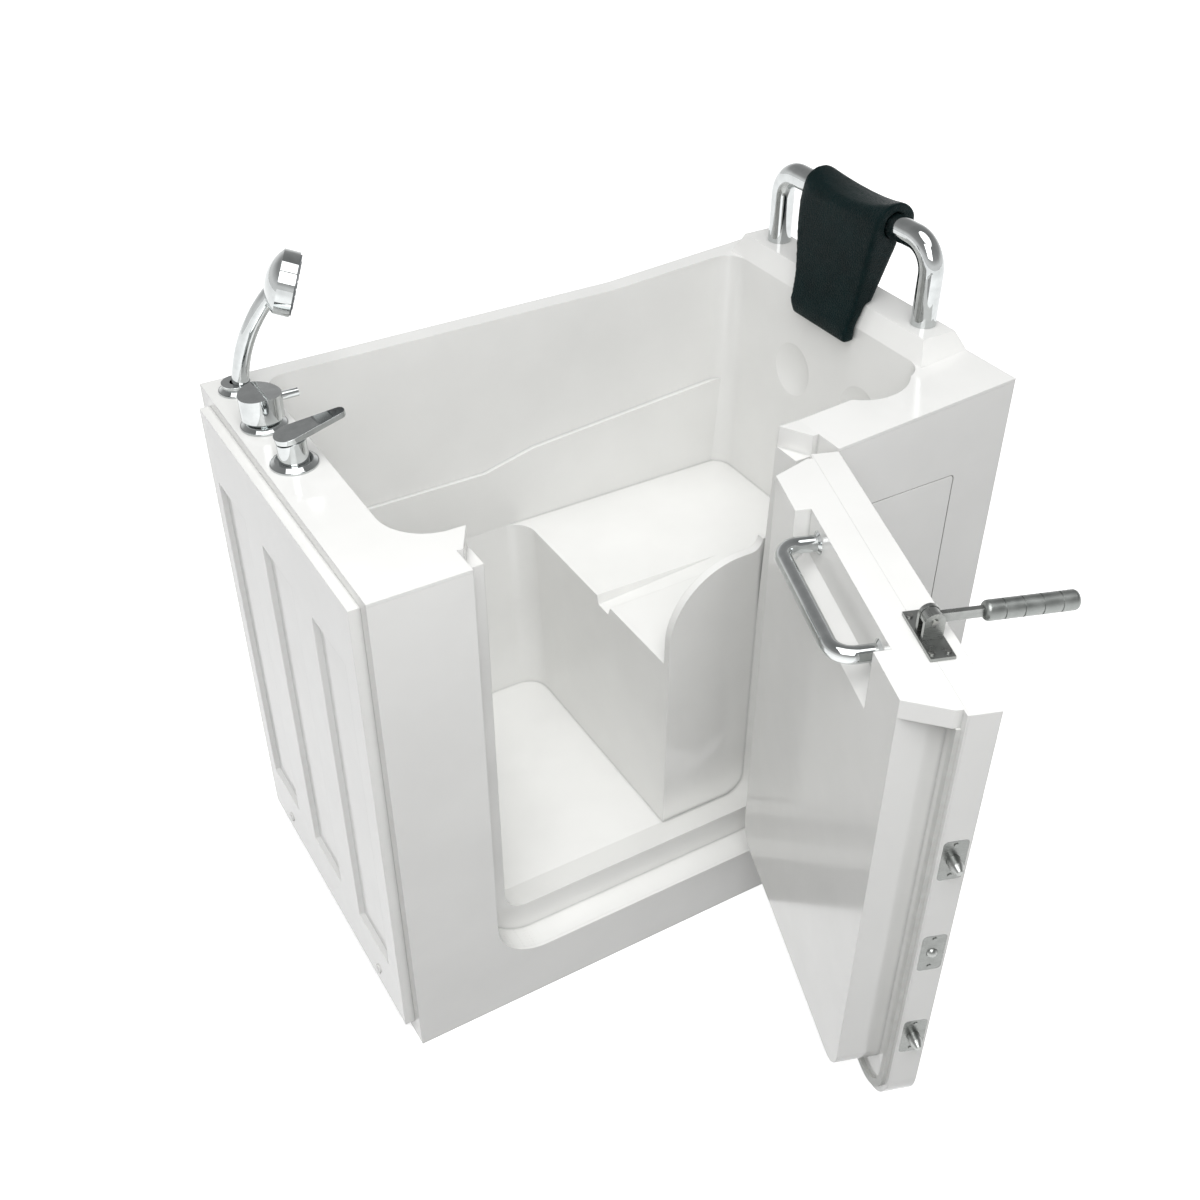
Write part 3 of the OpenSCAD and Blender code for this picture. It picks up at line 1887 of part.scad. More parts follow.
// Headrest that hangs over the rail
module headrest_pad() {
  rim_level = deck_height + rim_rise * block_share();
  front_hang = x_rest - pad_gap;
  front_over = x_rest + block_front_slope - pad_gap;
  wedge_top = [x_rail + wedge_back, rail_height - wedge_drop];
  wedge_foot = [front_over + wedge_step, block_height + pad_gap];
  tilt = atan((x_rail - pad_radius - front_hang + pad_thickness) / pad_drop);
  bow = (pow(pad_width / 2, 2) + pow(pad_crown, 2)) / (2 * pad_crown);
  dip = (pow(pad_width / 2, 2) + pow(pad_dip, 2)) / (2 * pad_dip);
  top = rail_height + pad_radius;
  color("darkslategray") difference() {
    intersection() {
      union() {
        bar_y(x_rail, y_pad - pad_width / 2, y_pad + pad_width / 2, rail_height, pad_radius);
        along_y(y_pad - pad_width / 2, y_pad + pad_width / 2)
          polygon([
            [x_rail, rail_height], wedge_top, wedge_foot,
            [front_over, block_height + pad_gap], [front_over, block_height], [front_hang, rim_level],
            [front_hang, pad_low], [front_hang - pad_thickness + pad_gap, pad_low],
            [front_hang - pad_thickness, pad_low + pad_hem],
            [front_hang - pad_thickness, rim_level], [front_over - pad_thickness, block_height],
            [x_rail - pad_radius + pad_clear, rail_height]
          ]);
      }
      along_x(x_rest - cut, x_seat)
        polygon([
          [y_pad_foot - pad_foot_width / 2, pad_low], [y_pad_foot + pad_foot_width / 2, pad_low],
          [y_pad + pad_width / 2, rail_height - pad_hip], [y_pad + pad_width / 2, top],
          [y_pad - pad_width / 2, top], [y_pad - pad_width / 2, rail_height - pad_hip]
        ]);
      translate([front_hang - pad_thickness + bow, (y_pad + y_pad_foot) / 2, pad_low])
        rotate([0, tilt, 0])
          cylinder(r = bow, h = pad_drop + cut + cut + cut, center = true);
    }
    bar_y(x_rail, y_front, y_back, rail_height, pad_hole);
    along_y(y_front, y_back)
      polygon([
        [x_rail, rail_height - pad_tail], wedge_top, wedge_foot, [x_seat, block_height + pad_gap],
        [x_seat, rail_height - pad_tail]
      ]);
    bar_x(x_rest - cut, x_seat, y_pad, top - pad_dip + dip, dip);
  }
}

tub_shell();
front_apron();
access_panel();
seat_end_apron();
rear_corner();
end_access_panel();
end_panel_caps();
strike_plates();
strike_screws();
base_rails();
cross_bearers();
seat_frame();
rim_frame();
foot_tap_front();
foot_tap_rear();
foot_seat_front();
foot_seat_rear();
foot_middle();
foot_nuts();
drain_body();
drain_plug();
waste_tailpiece();
overflow_plate();
overflow_knob();
overflow_pipe();
fill_outlet();
mixer_flange();
mixer_body();
mixer_lever();
diverter_flange();
diverter_knob();
shower_flange();
shower_collar();
hand_shower_body();
hand_shower_face();
deck_valves();
supply_pipes();
backrest_rail();
rail_nuts();
headrest_pad();
hinge_leaves_jamb();
hinge_pins();
hinge_leaves_door();
door_outer_panel();
door_inner_panel();
door_gasket();
door_grab_bar();
door_bar_bolts();
latch_faceplates();
latch_screws();
latch_cases();
upper_bolt();
lower_bolt();
middle_catch();
latch_rod();
lever_bracket();
bracket_screws();
lever_pivot_pin();
latch_lever();
lever_grip();
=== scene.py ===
import math

import bmesh
import bpy
from bpy.props import FloatProperty, FloatVectorProperty, IntProperty, PointerProperty, StringProperty
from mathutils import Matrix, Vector


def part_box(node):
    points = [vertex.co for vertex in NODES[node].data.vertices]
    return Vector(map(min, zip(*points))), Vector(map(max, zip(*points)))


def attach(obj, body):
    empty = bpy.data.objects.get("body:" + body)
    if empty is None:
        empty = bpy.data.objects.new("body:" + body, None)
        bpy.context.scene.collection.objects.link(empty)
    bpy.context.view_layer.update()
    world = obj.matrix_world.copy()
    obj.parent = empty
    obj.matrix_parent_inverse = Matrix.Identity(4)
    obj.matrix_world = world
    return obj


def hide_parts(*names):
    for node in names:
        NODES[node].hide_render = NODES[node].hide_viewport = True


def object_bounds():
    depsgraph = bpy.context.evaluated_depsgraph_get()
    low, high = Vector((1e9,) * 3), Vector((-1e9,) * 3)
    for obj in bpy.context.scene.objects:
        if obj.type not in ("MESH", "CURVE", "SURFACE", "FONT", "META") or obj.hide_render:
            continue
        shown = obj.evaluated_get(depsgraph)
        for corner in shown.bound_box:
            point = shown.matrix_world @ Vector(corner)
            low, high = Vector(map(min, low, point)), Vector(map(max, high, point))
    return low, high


bl_info = {
    "name": "Walk-in bathtub",
    "version": (1, 0, 0),
    "blender": (4, 5, 0),
    "location": "View3D > Sidebar > Bathtub",
    "description": "Finishes the walk-in bathtub: moulded edges, chrome fittings, headrest cushion and studio",
    "category": "Object",
}

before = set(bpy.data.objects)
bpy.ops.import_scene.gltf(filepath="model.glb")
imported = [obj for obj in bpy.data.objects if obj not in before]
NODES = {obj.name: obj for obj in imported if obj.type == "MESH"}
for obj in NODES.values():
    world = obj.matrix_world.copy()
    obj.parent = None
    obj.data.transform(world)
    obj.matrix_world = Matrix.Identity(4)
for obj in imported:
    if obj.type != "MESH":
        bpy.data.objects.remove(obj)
CAD_LOW, CAD_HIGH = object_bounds()

# Points closer than this are one point, in metres
SAME_POINT = 0.00002
# Faces that meet flatter than this are one face
SAME_PLANE = math.radians(0.5)
# A noise texture's values lie between these for the most part
NOISE_BAND = {"From Min": 0.3, "From Max": 0.7}
# The footwell's grip dots fade out between these two heights, just over its floor
GRIP_HEIGHTS = {"From Min": 0.1515, "From Max": 0.1525}
# The camera was fitted to corners marked in the photograph, whose sides are this many pixels long
PHOTO_SIDE = 1200
FOCAL_LENGTH = 1398.74 / PHOTO_SIDE
LENS_SHIFT = 28.75 / PHOTO_SIDE
SENSOR_MM = 36.0
CAMERA_PLACE = (-1.0457, -1.7688, 2.0747)
CAMERA_AZIMUTH = math.radians(-30.38)
CAMERA_ELEVATION = math.radians(38.26)
# Linear colours of the studio's wall and ceiling, from the horizon (0) to straight overhead (1)
SKY_COLOURS = (
    (0.0, (1.0, 1.0, 1.0)),
    (0.14, (0.95, 0.95, 0.95)),
    (0.40, (0.42, 0.42, 0.42)),
    (1.0, (0.24, 0.245, 0.245)),
)


# Colours and materials

def linear(hex_colour):
    """An sRGB hex colour as linear red, green, blue and alpha."""
    channels = [int(hex_colour[i:i + 2], 16) / 255 for i in (0, 2, 4)]
    return tuple(c / 12.92 if c <= 0.04045 else ((c + 0.055) / 1.055) ** 2.4 for c in channels) + (1.0,)


def add_node(tree, kind, inputs=None, **settings):
    """Adds a node. Settings are its own values; an input is a plain value or another node's output."""
    made = tree.nodes.new(kind)
    for name, value in settings.items():
        setattr(made, name, value)
    for socket, value in (inputs or {}).items():
        if isinstance(value, bpy.types.NodeSocket):
            tree.links.new(value, made.inputs[socket])
        else:
            made.inputs[socket].default_value = value
    return made


def new_material(name):
    """An empty node material, and its tree."""
    material = bpy.data.materials.new(name)
    material.use_nodes = True
    material.node_tree.nodes.clear()
    return material, material.node_tree


def cells(size_mm):
    """The scale at which a texture's cells are this many millimetres across."""
    return 1000 / size_mm


def clouded(tree, place, size_mm, detail, dark, light, roughness=0.5):
    """Two colours in soft clouds. Gives back the clouds, the share of the second colour, and the colour."""
    cloud = add_node(tree, "ShaderNodeTexNoise", {
        "Vector": place, "Scale": cells(size_mm), "Detail": detail, "Roughness": roughness,
    })
    share = add_node(tree, "ShaderNodeMapRange", {"Value": cloud.outputs["Fac"], **NOISE_BAND})
    colour = add_node(tree, "ShaderNodeMix", {0: share.outputs[0], 6: linear(dark), 7: linear(light)},
                      data_type="RGBA")
    return cloud.outputs["Fac"], share.outputs[0], colour.outputs[2]


def gelcoat(name, crease_shade_colour, dark, light, crease_shade_reach, edge_radius, grip=False):
    """Polyester gelcoat, sprayed in a polished mould: a deep even gloss with a faint orange peel about 6 mm
    across, and a cloudy variation in tone that only shows over a hand's width."""
    material, tree = new_material(name)
    place = add_node(tree, "ShaderNodeTexCoord").outputs["Object"]
    clean = clouded(tree, place, 160, 3.0, dark, light)[2]
    # Creases and seams narrower than a finger are mixed towards grey by an occlusion node: this is painted shade
    crease = add_node(tree, "ShaderNodeAmbientOcclusion", {"Distance": crease_shade_reach}, samples=4)
    painted_crease_shade = add_node(tree, "ShaderNodeMapRange", {
        "Value": crease.outputs["AO"], "From Min": 0.2, "From Max": 0.75,
    })
    colour = add_node(tree, "ShaderNodeMix", {0: painted_crease_shade.outputs[0], 6: linear(crease_shade_colour), 7: clean},
                      data_type="RGBA")
    peel = add_node(tree, "ShaderNodeTexNoise", {"Vector": place, "Scale": cells(6), "Detail": 1.0})
    rounded = add_node(tree, "ShaderNodeBevel", {"Radius": edge_radius}, samples=6)
    relief = add_node(tree, "ShaderNodeBump", {
        "Height": peel.outputs["Fac"], "Distance": 0.00002, "Normal": rounded.outputs[0],
    })
    wiped = add_node(tree, "ShaderNodeTexNoise", {"Vector": place, "Scale": cells(40), "Detail": 3.0})
    gloss = add_node(tree, "ShaderNodeMapRange", {
        "Value": wiped.outputs["Fac"], **NOISE_BAND, "To Min": 0.09, "To Max": 0.15,
    })
    if grip:
        # Raised dots 7 mm apart on the footwell floor only, moulded so that wet feet hold
        axes = add_node(tree, "ShaderNodeSeparateXYZ", {"Vector": place})
        dots = add_node(tree, "ShaderNodeTexVoronoi", {"Vector": place, "Scale": cells(7), "Randomness": 0.0})
        dot = add_node(tree, "ShaderNodeMapRange", {
            "Value": dots.outputs["Distance"], "From Min": 0.2, "From Max": 0.34, "To Min": 1.0, "To Max": 0.0,
        })
        low = add_node(tree, "ShaderNodeMapRange", {
            "Value": axes.outputs["Z"], **GRIP_HEIGHTS, "To Min": 1.0, "To Max": 0.0,
        })
        height = add_node(tree, "ShaderNodeMath", {0: dot.outputs[0], 1: low.outputs[0]}, operation="MULTIPLY")
        relief = add_node(tree, "ShaderNodeBump", {
            "Height": height.outputs[0], "Distance": 0.00035, "Normal": relief.outputs[0],
        })
    shader = add_node(tree, "ShaderNodeBsdfPrincipled", {
        "Base Color": colour.outputs[2], "Roughness": gloss.outputs[0], "IOR": 1.5, "Normal": relief.outputs[0],
    })
    add_node(tree, "ShaderNodeOutputMaterial", {"Surface": shader.outputs[0]})
    return material


def chrome(name, dark, light):
    """Chromium over nickel, plated on polished brass: a mirror with the faint haze of wiped water marks, and a
    slight waviness from the polishing wheel."""
    material, tree = new_material(name)
    place = add_node(tree, "ShaderNodeTexCoord").outputs["Object"]
    smear, _, colour = clouded(tree, place, 18, 4.0, dark, light, 0.6)
    haze = add_node(tree, "ShaderNodeMapRange", {"Value": smear, **NOISE_BAND, "To Min": 0.03, "To Max": 0.07})
    wave = add_node(tree, "ShaderNodeTexNoise", {"Vector": place, "Scale": cells(30), "Detail": 1.0})
    relief = add_node(tree, "ShaderNodeBump", {"Height": wave.outputs["Fac"], "Distance": 0.00003})
    shader = add_node(tree, "ShaderNodeBsdfPrincipled", {
        "Base Color": colour, "Metallic": 1.0, "Roughness": haze.outputs[0], "Normal": relief.outputs[0],
    })
    add_node(tree, "ShaderNodeOutputMaterial", {"Surface": shader.outputs[0]})
    return material


def satin_metal(name, dark, light, rough_low, rough_high, stretch, line_mm):
    """Brushed or cast metal: fine parallel lines that spread the highlight along one direction, and edges rubbed
    a little brighter. Real lines are about 0.1 mm apart, too fine for the picture, so they are drawn coarser.
    Stretch is how much finer the pattern is along each axis."""
    material, tree = new_material(name)
    place = add_node(tree, "ShaderNodeTexCoord").outputs["Object"]
    drawn = add_node(tree, "ShaderNodeMapping", {"Vector": place, "Scale": stretch})
    lines = add_node(tree, "ShaderNodeTexNoise", {
        "Vector": drawn.outputs[0], "Scale": cells(line_mm) / max(stretch), "Detail": 2.0,
    })
    sheen = add_node(tree, "ShaderNodeMapRange", {
        "Value": lines.outputs["Fac"], **NOISE_BAND, "To Min": rough_low, "To Max": rough_high,
    })
    rubbed = add_node(tree, "ShaderNodeTexNoise", {"Vector": place, "Scale": cells(14), "Detail": 3.0})
    edge = add_node(tree, "ShaderNodeNewGeometry")
    worn = add_node(tree, "ShaderNodeMapRange", {
        "Value": edge.outputs["Pointiness"], "From Min": 0.5, "From Max": 0.62,
    })
    tone = add_node(tree, "ShaderNodeMath", {0: rubbed.outputs["Fac"], 1: worn.outputs[0]}, operation="ADD",
                    use_clamp=True)
    colour = add_node(tree, "ShaderNodeMix", {0: tone.outputs[0], 6: linear(dark), 7: linear(light)},
                      data_type="RGBA")
    relief = add_node(tree, "ShaderNodeBump", {"Height": lines.outputs["Fac"], "Distance": 0.00003})
    shader = add_node(tree, "ShaderNodeBsdfPrincipled", {
        "Base Color": colour.outputs[2], "Metallic": 1.0, "Roughness": sheen.outputs[0],
        "Normal": relief.outputs[0],
    })
    add_node(tree, "ShaderNodeOutputMaterial", {"Surface": shader.outputs[0]})
    return material


def turned_grip(name, dark, light):
    """Turned aluminium, bead-blasted: a dull grey sleeve, a little smoother where hands have held it."""
    material, tree = new_material(name)
    place = add_node(tree, "ShaderNodeTexCoord").outputs["Object"]
    handled, _, colour = clouded(tree, place, 20, 3.0, dark, light)
    sheen = add_node(tree, "ShaderNodeMapRange", {
        "Value": handled, **NOISE_BAND, "To Min": 0.34, "To Max": 0.44,
    })
    blasted = add_node(tree, "ShaderNodeTexNoise", {"Vector": place, "Scale": cells(1.5), "Detail": 2.0})
    relief = add_node(tree, "ShaderNodeBump", {"Height": blasted.outputs["Fac"], "Distance": 0.00002})
    shader = add_node(tree, "ShaderNodeBsdfPrincipled", {
        "Base Color": colour, "Metallic": 1.0, "Roughness": sheen.outputs[0], "Normal": relief.outputs[0],
    })
    add_node(tree, "ShaderNodeOutputMaterial", {"Surface": shader.outputs[0]})
    return material


def galvanised(name, dark, light):
    """Hot-dip galvanised steel tube: crystal spangles about 12 mm across, dull and slightly blue."""
    material, tree = new_material(name)
    place = add_node(tree, "ShaderNodeTexCoord").outputs["Object"]
    spangle = add_node(tree, "ShaderNodeTexVoronoi", {"Vector": place, "Scale": cells(12)})
    facet = add_node(tree, "ShaderNodeSeparateColor", {"Color": spangle.outputs["Color"]})
    colour = add_node(tree, "ShaderNodeMix", {0: facet.outputs[0], 6: linear(dark), 7: linear(light)},
                      data_type="RGBA")
    dull = add_node(tree, "ShaderNodeMapRange", {"Value": facet.outputs[1], "To Min": 0.32, "To Max": 0.55})
    runs = add_node(tree, "ShaderNodeTexNoise", {"Vector": place, "Scale": cells(2), "Detail": 2.0})
    relief = add_node(tree, "ShaderNodeBump", {"Height": runs.outputs["Fac"], "Distance": 0.00003})
    shader = add_node(tree, "ShaderNodeBsdfPrincipled", {
        "Base Color": colour.outputs[2], "Metallic": 1.0, "Roughness": dull.outputs[0],
        "Normal": relief.outputs[0],
    })
    add_node(tree, "ShaderNodeOutputMaterial", {"Surface": shader.outputs[0]})
    return material


def zinc_plate(name, dark, light):
    """Zinc-plated steel: pale, slightly yellow, cloudy from the plating bath."""
    material, tree = new_material(name)
    place = add_node(tree, "ShaderNodeTexCoord").outputs["Object"]
    _, tone, colour = clouded(tree, place, 9, 4.0, dark, light, 0.6)
    dull = add_node(tree, "ShaderNodeMapRange", {"Value": tone, "To Min": 0.22, "To Max": 0.4})
    grit = add_node(tree, "ShaderNodeTexNoise", {"Vector": place, "Scale": cells(1.5), "Detail": 2.0})
    relief = add_node(tree, "ShaderNodeBump", {"Height": grit.outputs["Fac"], "Distance": 0.00002})
    shader = add_node(tree, "ShaderNodeBsdfPrincipled", {
        "Base Color": colour, "Metallic": 1.0, "Roughness": dull.outputs[0], "Normal": relief.outputs[0],
    })
    add_node(tree, "ShaderNodeOutputMaterial", {"Surface": shader.outputs[0]})
    return material


def moulded(name, dark, light, rough_low, rough_high, index, texture_mm, depth_mm):
    """A moulded plastic or rubber: an even colour with the faint flow of the mould, and the fine texture of its
    tool. Index is its index of refraction."""
    material, tree = new_material(name)
    place = add_node(tree, "ShaderNodeTexCoord").outputs["Object"]
    _, tone, colour = clouded(tree, place, 30, 2.0, dark, light)
    dull = add_node(tree, "ShaderNodeMapRange", {"Value": tone, "To Min": rough_low, "To Max": rough_high})
    tool = add_node(tree, "ShaderNodeTexNoise", {"Vector": place, "Scale": cells(texture_mm), "Detail": 2.0})
    relief = add_node(tree, "ShaderNodeBump", {"Height": tool.outputs["Fac"], "Distance": depth_mm / 1000})
    shader = add_node(tree, "ShaderNodeBsdfPrincipled", {
        "Base Color": colour, "Roughness": dull.outputs[0], "IOR": index, "Normal": relief.outputs[0],
    })
    add_node(tree, "ShaderNodeOutputMaterial", {"Surface": shader.outputs[0]})
    return material


def copper(name, dark, light):
    """Drawn copper tube: polished along its length, browned where it has been handled."""
    material, tree = new_material(name)
    place = add_node(tree, "ShaderNodeTexCoord").outputs["Object"]
    _, tone, colour = clouded(tree, place, 22, 4.0, dark, light, 0.6)
    dull = add_node(tree, "ShaderNodeMapRange", {"Value": tone, "To Min": 0.45, "To Max": 0.22})
    drawn = add_node(tree, "ShaderNodeMapping", {"Vector": place, "Scale": (12, 12, 1)})
    lines = add_node(tree, "ShaderNodeTexNoise", {
        "Vector": drawn.outputs[0], "Scale": cells(20), "Detail": 2.0,
    })
    relief = add_node(tree, "ShaderNodeBump", {"Height": lines.outputs["Fac"], "Distance": 0.00002})
    shader = add_node(tree, "ShaderNodeBsdfPrincipled", {
        "Base Color": colour, "Metallic": 1.0, "Roughness": dull.outputs[0], "Normal": relief.outputs[0],
    })
    add_node(tree, "ShaderNodeOutputMaterial", {"Surface": shader.outputs[0]})
    return material


def skin_foam(name, dark, light):
    """Integral-skin polyurethane foam, moulded with a leather grain: pebbles with fine creases between them, and
    a soft satin sheen that is duller in the creases. The real pebbles are about 1.5 mm across, too fine for the
    picture, so they are drawn 4 mm across."""
    material, tree = new_material(name)
    place = add_node(tree, "ShaderNodeTexCoord").outputs["Object"]
    wander = add_node(tree, "ShaderNodeTexNoise", {"Vector": place, "Scale": cells(9), "Detail": 2.0})
    bent = add_node(tree, "ShaderNodeVectorMath", {0: wander.outputs["Color"], "Scale": 0.003},
                    operation="SCALE")
    moved = add_node(tree, "ShaderNodeVectorMath", {0: place, 1: bent.outputs[0]}, operation="ADD")
    pebble = add_node(tree, "ShaderNodeTexVoronoi", {"Vector": moved.outputs[0], "Scale": cells(4)},
                      feature="DISTANCE_TO_EDGE")
    crease = add_node(tree, "ShaderNodeMapRange", {"Value": pebble.outputs["Distance"], "From Max": 0.18})
    cloud, _, colour = clouded(tree, place, 45, 3.0, dark, light)
    sheen = add_node(tree, "ShaderNodeMapRange", {"Value": crease.outputs[0], "To Min": 0.5, "To Max": 0.3})
    swell = add_node(tree, "ShaderNodeBump", {"Height": cloud, "Distance": 0.0003})
    relief = add_node(tree, "ShaderNodeBump", {
        "Height": crease.outputs[0], "Distance": 0.0012, "Normal": swell.outputs[0],
    })
    shader = add_node(tree, "ShaderNodeBsdfPrincipled", {
        "Base Color": colour, "Roughness": sheen.outputs[0], "IOR": 1.5, "Specular IOR Level": 0.1,
        "Normal": relief.outputs[0],
    })
    add_node(tree, "ShaderNodeOutputMaterial", {"Surface": shader.outputs[0]})
    return material


def studio_paper(name, light, dark, glow):
    """Matt studio paper with a faint mottle. The picture and the chrome see it white, and what it throws back on
    the object is that of a darker floor."""
    material, tree = new_material(name)
    place = add_node(tree, "ShaderNodeTexCoord").outputs["Object"]
    mottle = add_node(tree, "ShaderNodeTexNoise", {"Vector": place, "Scale": cells(300), "Detail": 2.0})
    colour = add_node(tree, "ShaderNodeMix", {0: mottle.outputs["Fac"], 6: linear("FBFBFB"), 7: linear(light)},
                      data_type="RGBA")
    paper = add_node(tree, "ShaderNodeBsdfDiffuse", {"Color": colour.outputs[2]})
    white = add_node(tree, "ShaderNodeEmission", {"Color": linear(light), "Strength": glow})
    lit = add_node(tree, "ShaderNodeAddShader", {0: paper.outputs[0], 1: white.outputs[0]})
    dim = add_node(tree, "ShaderNodeBsdfDiffuse", {"Color": linear(dark)})
    ray = add_node(tree, "ShaderNodeLightPath")
    seen = add_node(tree, "ShaderNodeMath", {0: ray.outputs["Is Camera Ray"], 1: ray.outputs["Is Glossy Ray"]},
                    operation="ADD")
    through = add_node(tree, "ShaderNodeMath", {0: seen.outputs[0], 1: ray.outputs["Is Transmission Ray"]},
                       operation="ADD", use_clamp=True)
    shader = add_node(tree, "ShaderNodeMixShader", {
        0: through.outputs[0], 1: dim.outputs[0], 2: lit.outputs[0],
    })
    add_node(tree, "ShaderNodeOutputMaterial", {"Surface": shader.outputs[0]})
    return material


# Mesh helpers

def dress(names, material):
    """Gives CAD nodes a finish."""
    for name in names:
        mesh = NODES[name].data
        mesh.materials.clear()
        mesh.materials.append(material)


def round_edges(names, radius, segments=3, angle=30, clamp=False):
    """Rounds the sharp edges of CAD nodes with modifiers."""
    for name in names:
        thing = NODES[name]
        weld = thing.modifiers.new("joined points", "WELD")
        weld.merge_threshold = SAME_POINT
        flat = thing.modifiers.new("whole faces", "DECIMATE")
        flat.decimate_type = "DISSOLVE"
        flat.angle_limit = SAME_PLANE
        edge = thing.modifiers.new("moulded edges", "BEVEL")
        edge.width = radius
        edge.segments = segments
        edge.limit_method = "ANGLE"
        edge.angle_limit = math.radians(angle)
        edge.use_clamp_overlap = clamp
        edge.miter_outer = "MITER_ARC"
        thing.modifiers.new("even shading", "WEIGHTED_NORMAL")


def link(thing):
    """Puts an object in the scene."""
    bpy.context.scene.collection.objects.link(thing)
    return thing


def apply_modifiers(thing):
    """Makes the modified shape the object's own mesh."""
    graph = bpy.context.evaluated_depsgraph_get()
    shaped = bpy.data.meshes.new_from_object(thing.evaluated_get(graph))
    thing.modifiers.clear()
    old = thing.data
    thing.data = shaped
    bpy.data.meshes.remove(old)
    return thing


def smooth_faces(thing):
    """Shades a mesh as a smooth skin."""
    for polygon in thing.data.polygons:
        polygon.use_smooth = True


# Pieces

def make_headrest(settings, material):
    """The headrest: the CAD pad in fine facets, its edges rounded and its top dished by moving points, and clear
    of its rail."""
    source = NODES["headrest_pad"]
    low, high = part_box("headrest_pad")
    rail_low, rail_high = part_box("backrest_rail")
    rail_radius = (rail_high.x - rail_low.x) / 2
    rail_x = (rail_low.x + rail_high.x) / 2
    rail_z = rail_high.z - rail_radius
    roll = high.z - rail_z
    middle = (low.y + high.y) / 2
    half = (high.y - low.y) / 2
    pad = link(bpy.data.objects.new("headrest_cushion", source.data.copy()))
    mesh = bmesh.new()
    mesh.from_mesh(pad.data)
    bmesh.ops.remove_doubles(mesh, verts=mesh.verts, dist=SAME_POINT)
    mesh.to_mesh(pad.data)
    mesh.free()
    facets = pad.modifiers.new("fine facets", "REMESH")
    facets.mode = "VOXEL"
    facets.voxel_size = settings.pad_facet
    soft = pad.modifiers.new("soft edges", "SMOOTH")
    soft.factor = 0.5
    soft.iterations = settings.pad_softness
    apply_modifiers(pad)
    for vertex in pad.data.vertices:
        point = vertex.co
        off = Vector((point.x - rail_x, 0, point.z - rail_z))
        across = (point.y - middle) / half
        # From 0 at the rail's level to 1 on top of the roll, with no crease at either end
        over = max(0.0, min(1.0, (point.z - rail_z) / roll))
        over *= over * (3 - 2 * over)
        spare = max(0.0, off.length - rail_radius - settings.pad_wall)
        point -= off.normalized() * spare * settings.roll_slimming * over
        point.z -= settings.pad_dish * over * max(0.0, 1 - across * across)
        point.y = middle + (point.y - middle) * (1 - settings.pad_draw)
        off = Vector((point.x - rail_x, 0, point.z - rail_z))
        if off.length < rail_radius + settings.rail_clearance:
            point += off.normalized() * (rail_radius + settings.rail_clearance - off.length)
    finer = pad.modifiers.new("subdivided", "SUBSURF")
    finer.levels = finer.render_levels = 1
    apply_modifiers(pad)
    smooth_faces(pad)
    pad.data.materials.clear()
    pad.data.materials.append(material)
    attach(pad, "headrest")
    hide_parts("headrest_pad")
    return pad


# Sizes and colours a user would change

class TubSettings(bpy.types.PropertyGroup):
    edge_radius: FloatProperty(
        name="Moulded edge radius", description="Radius of the outside edges of the mouldings",
        default=0.0016, min=0.0003, max=0.01, unit="LENGTH", subtype="DISTANCE")
    crease_shade_reach: FloatProperty(
        # How far the painted shade in creases and seams reaches
        name="Crease shade reach", description="How far the painted shade reaches out of the creases",
        default=0.012, min=0.0, max=0.1, unit="LENGTH", subtype="DISTANCE")
    fine_radius: FloatProperty(
        name="Metal edge radius", description="Radius of the broken edges of the metal fittings",
        default=0.0006, min=0.0001, max=0.002, unit="LENGTH", subtype="DISTANCE")
    gelcoat_colour: StringProperty(
        name="Gelcoat colour", description="Colour of the mouldings, as an sRGB hex value",
        default="EEEEEC")
    foam_colour: StringProperty(
        name="Headrest colour", description="Colour of the headrest's skin, as an sRGB hex value",
        default="0B2223")
    pad_facet: FloatProperty(
        name="Headrest facet", description="Size of the headrest's faces before they are subdivided",
        default=0.003, min=0.002, max=0.008, unit="LENGTH", subtype="DISTANCE")
    pad_softness: IntProperty(
        name="Headrest softness", description="How often the headrest's edges are smoothed",
        default=22, min=0, max=80)
    pad_wall: FloatProperty(
        name="Headrest wall", description="Thickness of the roll over the rail that is kept",
        default=0.010, min=0.002, max=0.02, unit="LENGTH", subtype="DISTANCE")
    roll_slimming: FloatProperty(
        name="Roll slimming", description="Share of the roll's spare thickness that is drawn in",
        default=0.35, min=0.0, max=1.0, subtype="FACTOR")
    pad_dish: FloatProperty(
        name="Headrest dish", description="How far the roll is dished between its two ends",
        default=0.008, min=0.0, max=0.02, unit="LENGTH", subtype="DISTANCE")
    pad_draw: FloatProperty(
        name="Headrest draw", description="Share by which the skin draws the pad's sides in",
        default=0.03, min=0.0, max=0.1, subtype="FACTOR")
    rail_clearance: FloatProperty(
        name="Rail clearance", description="Gap between the headrest and its rail",
        default=0.0006, min=0.0001, max=0.003, unit="LENGTH", subtype="DISTANCE")


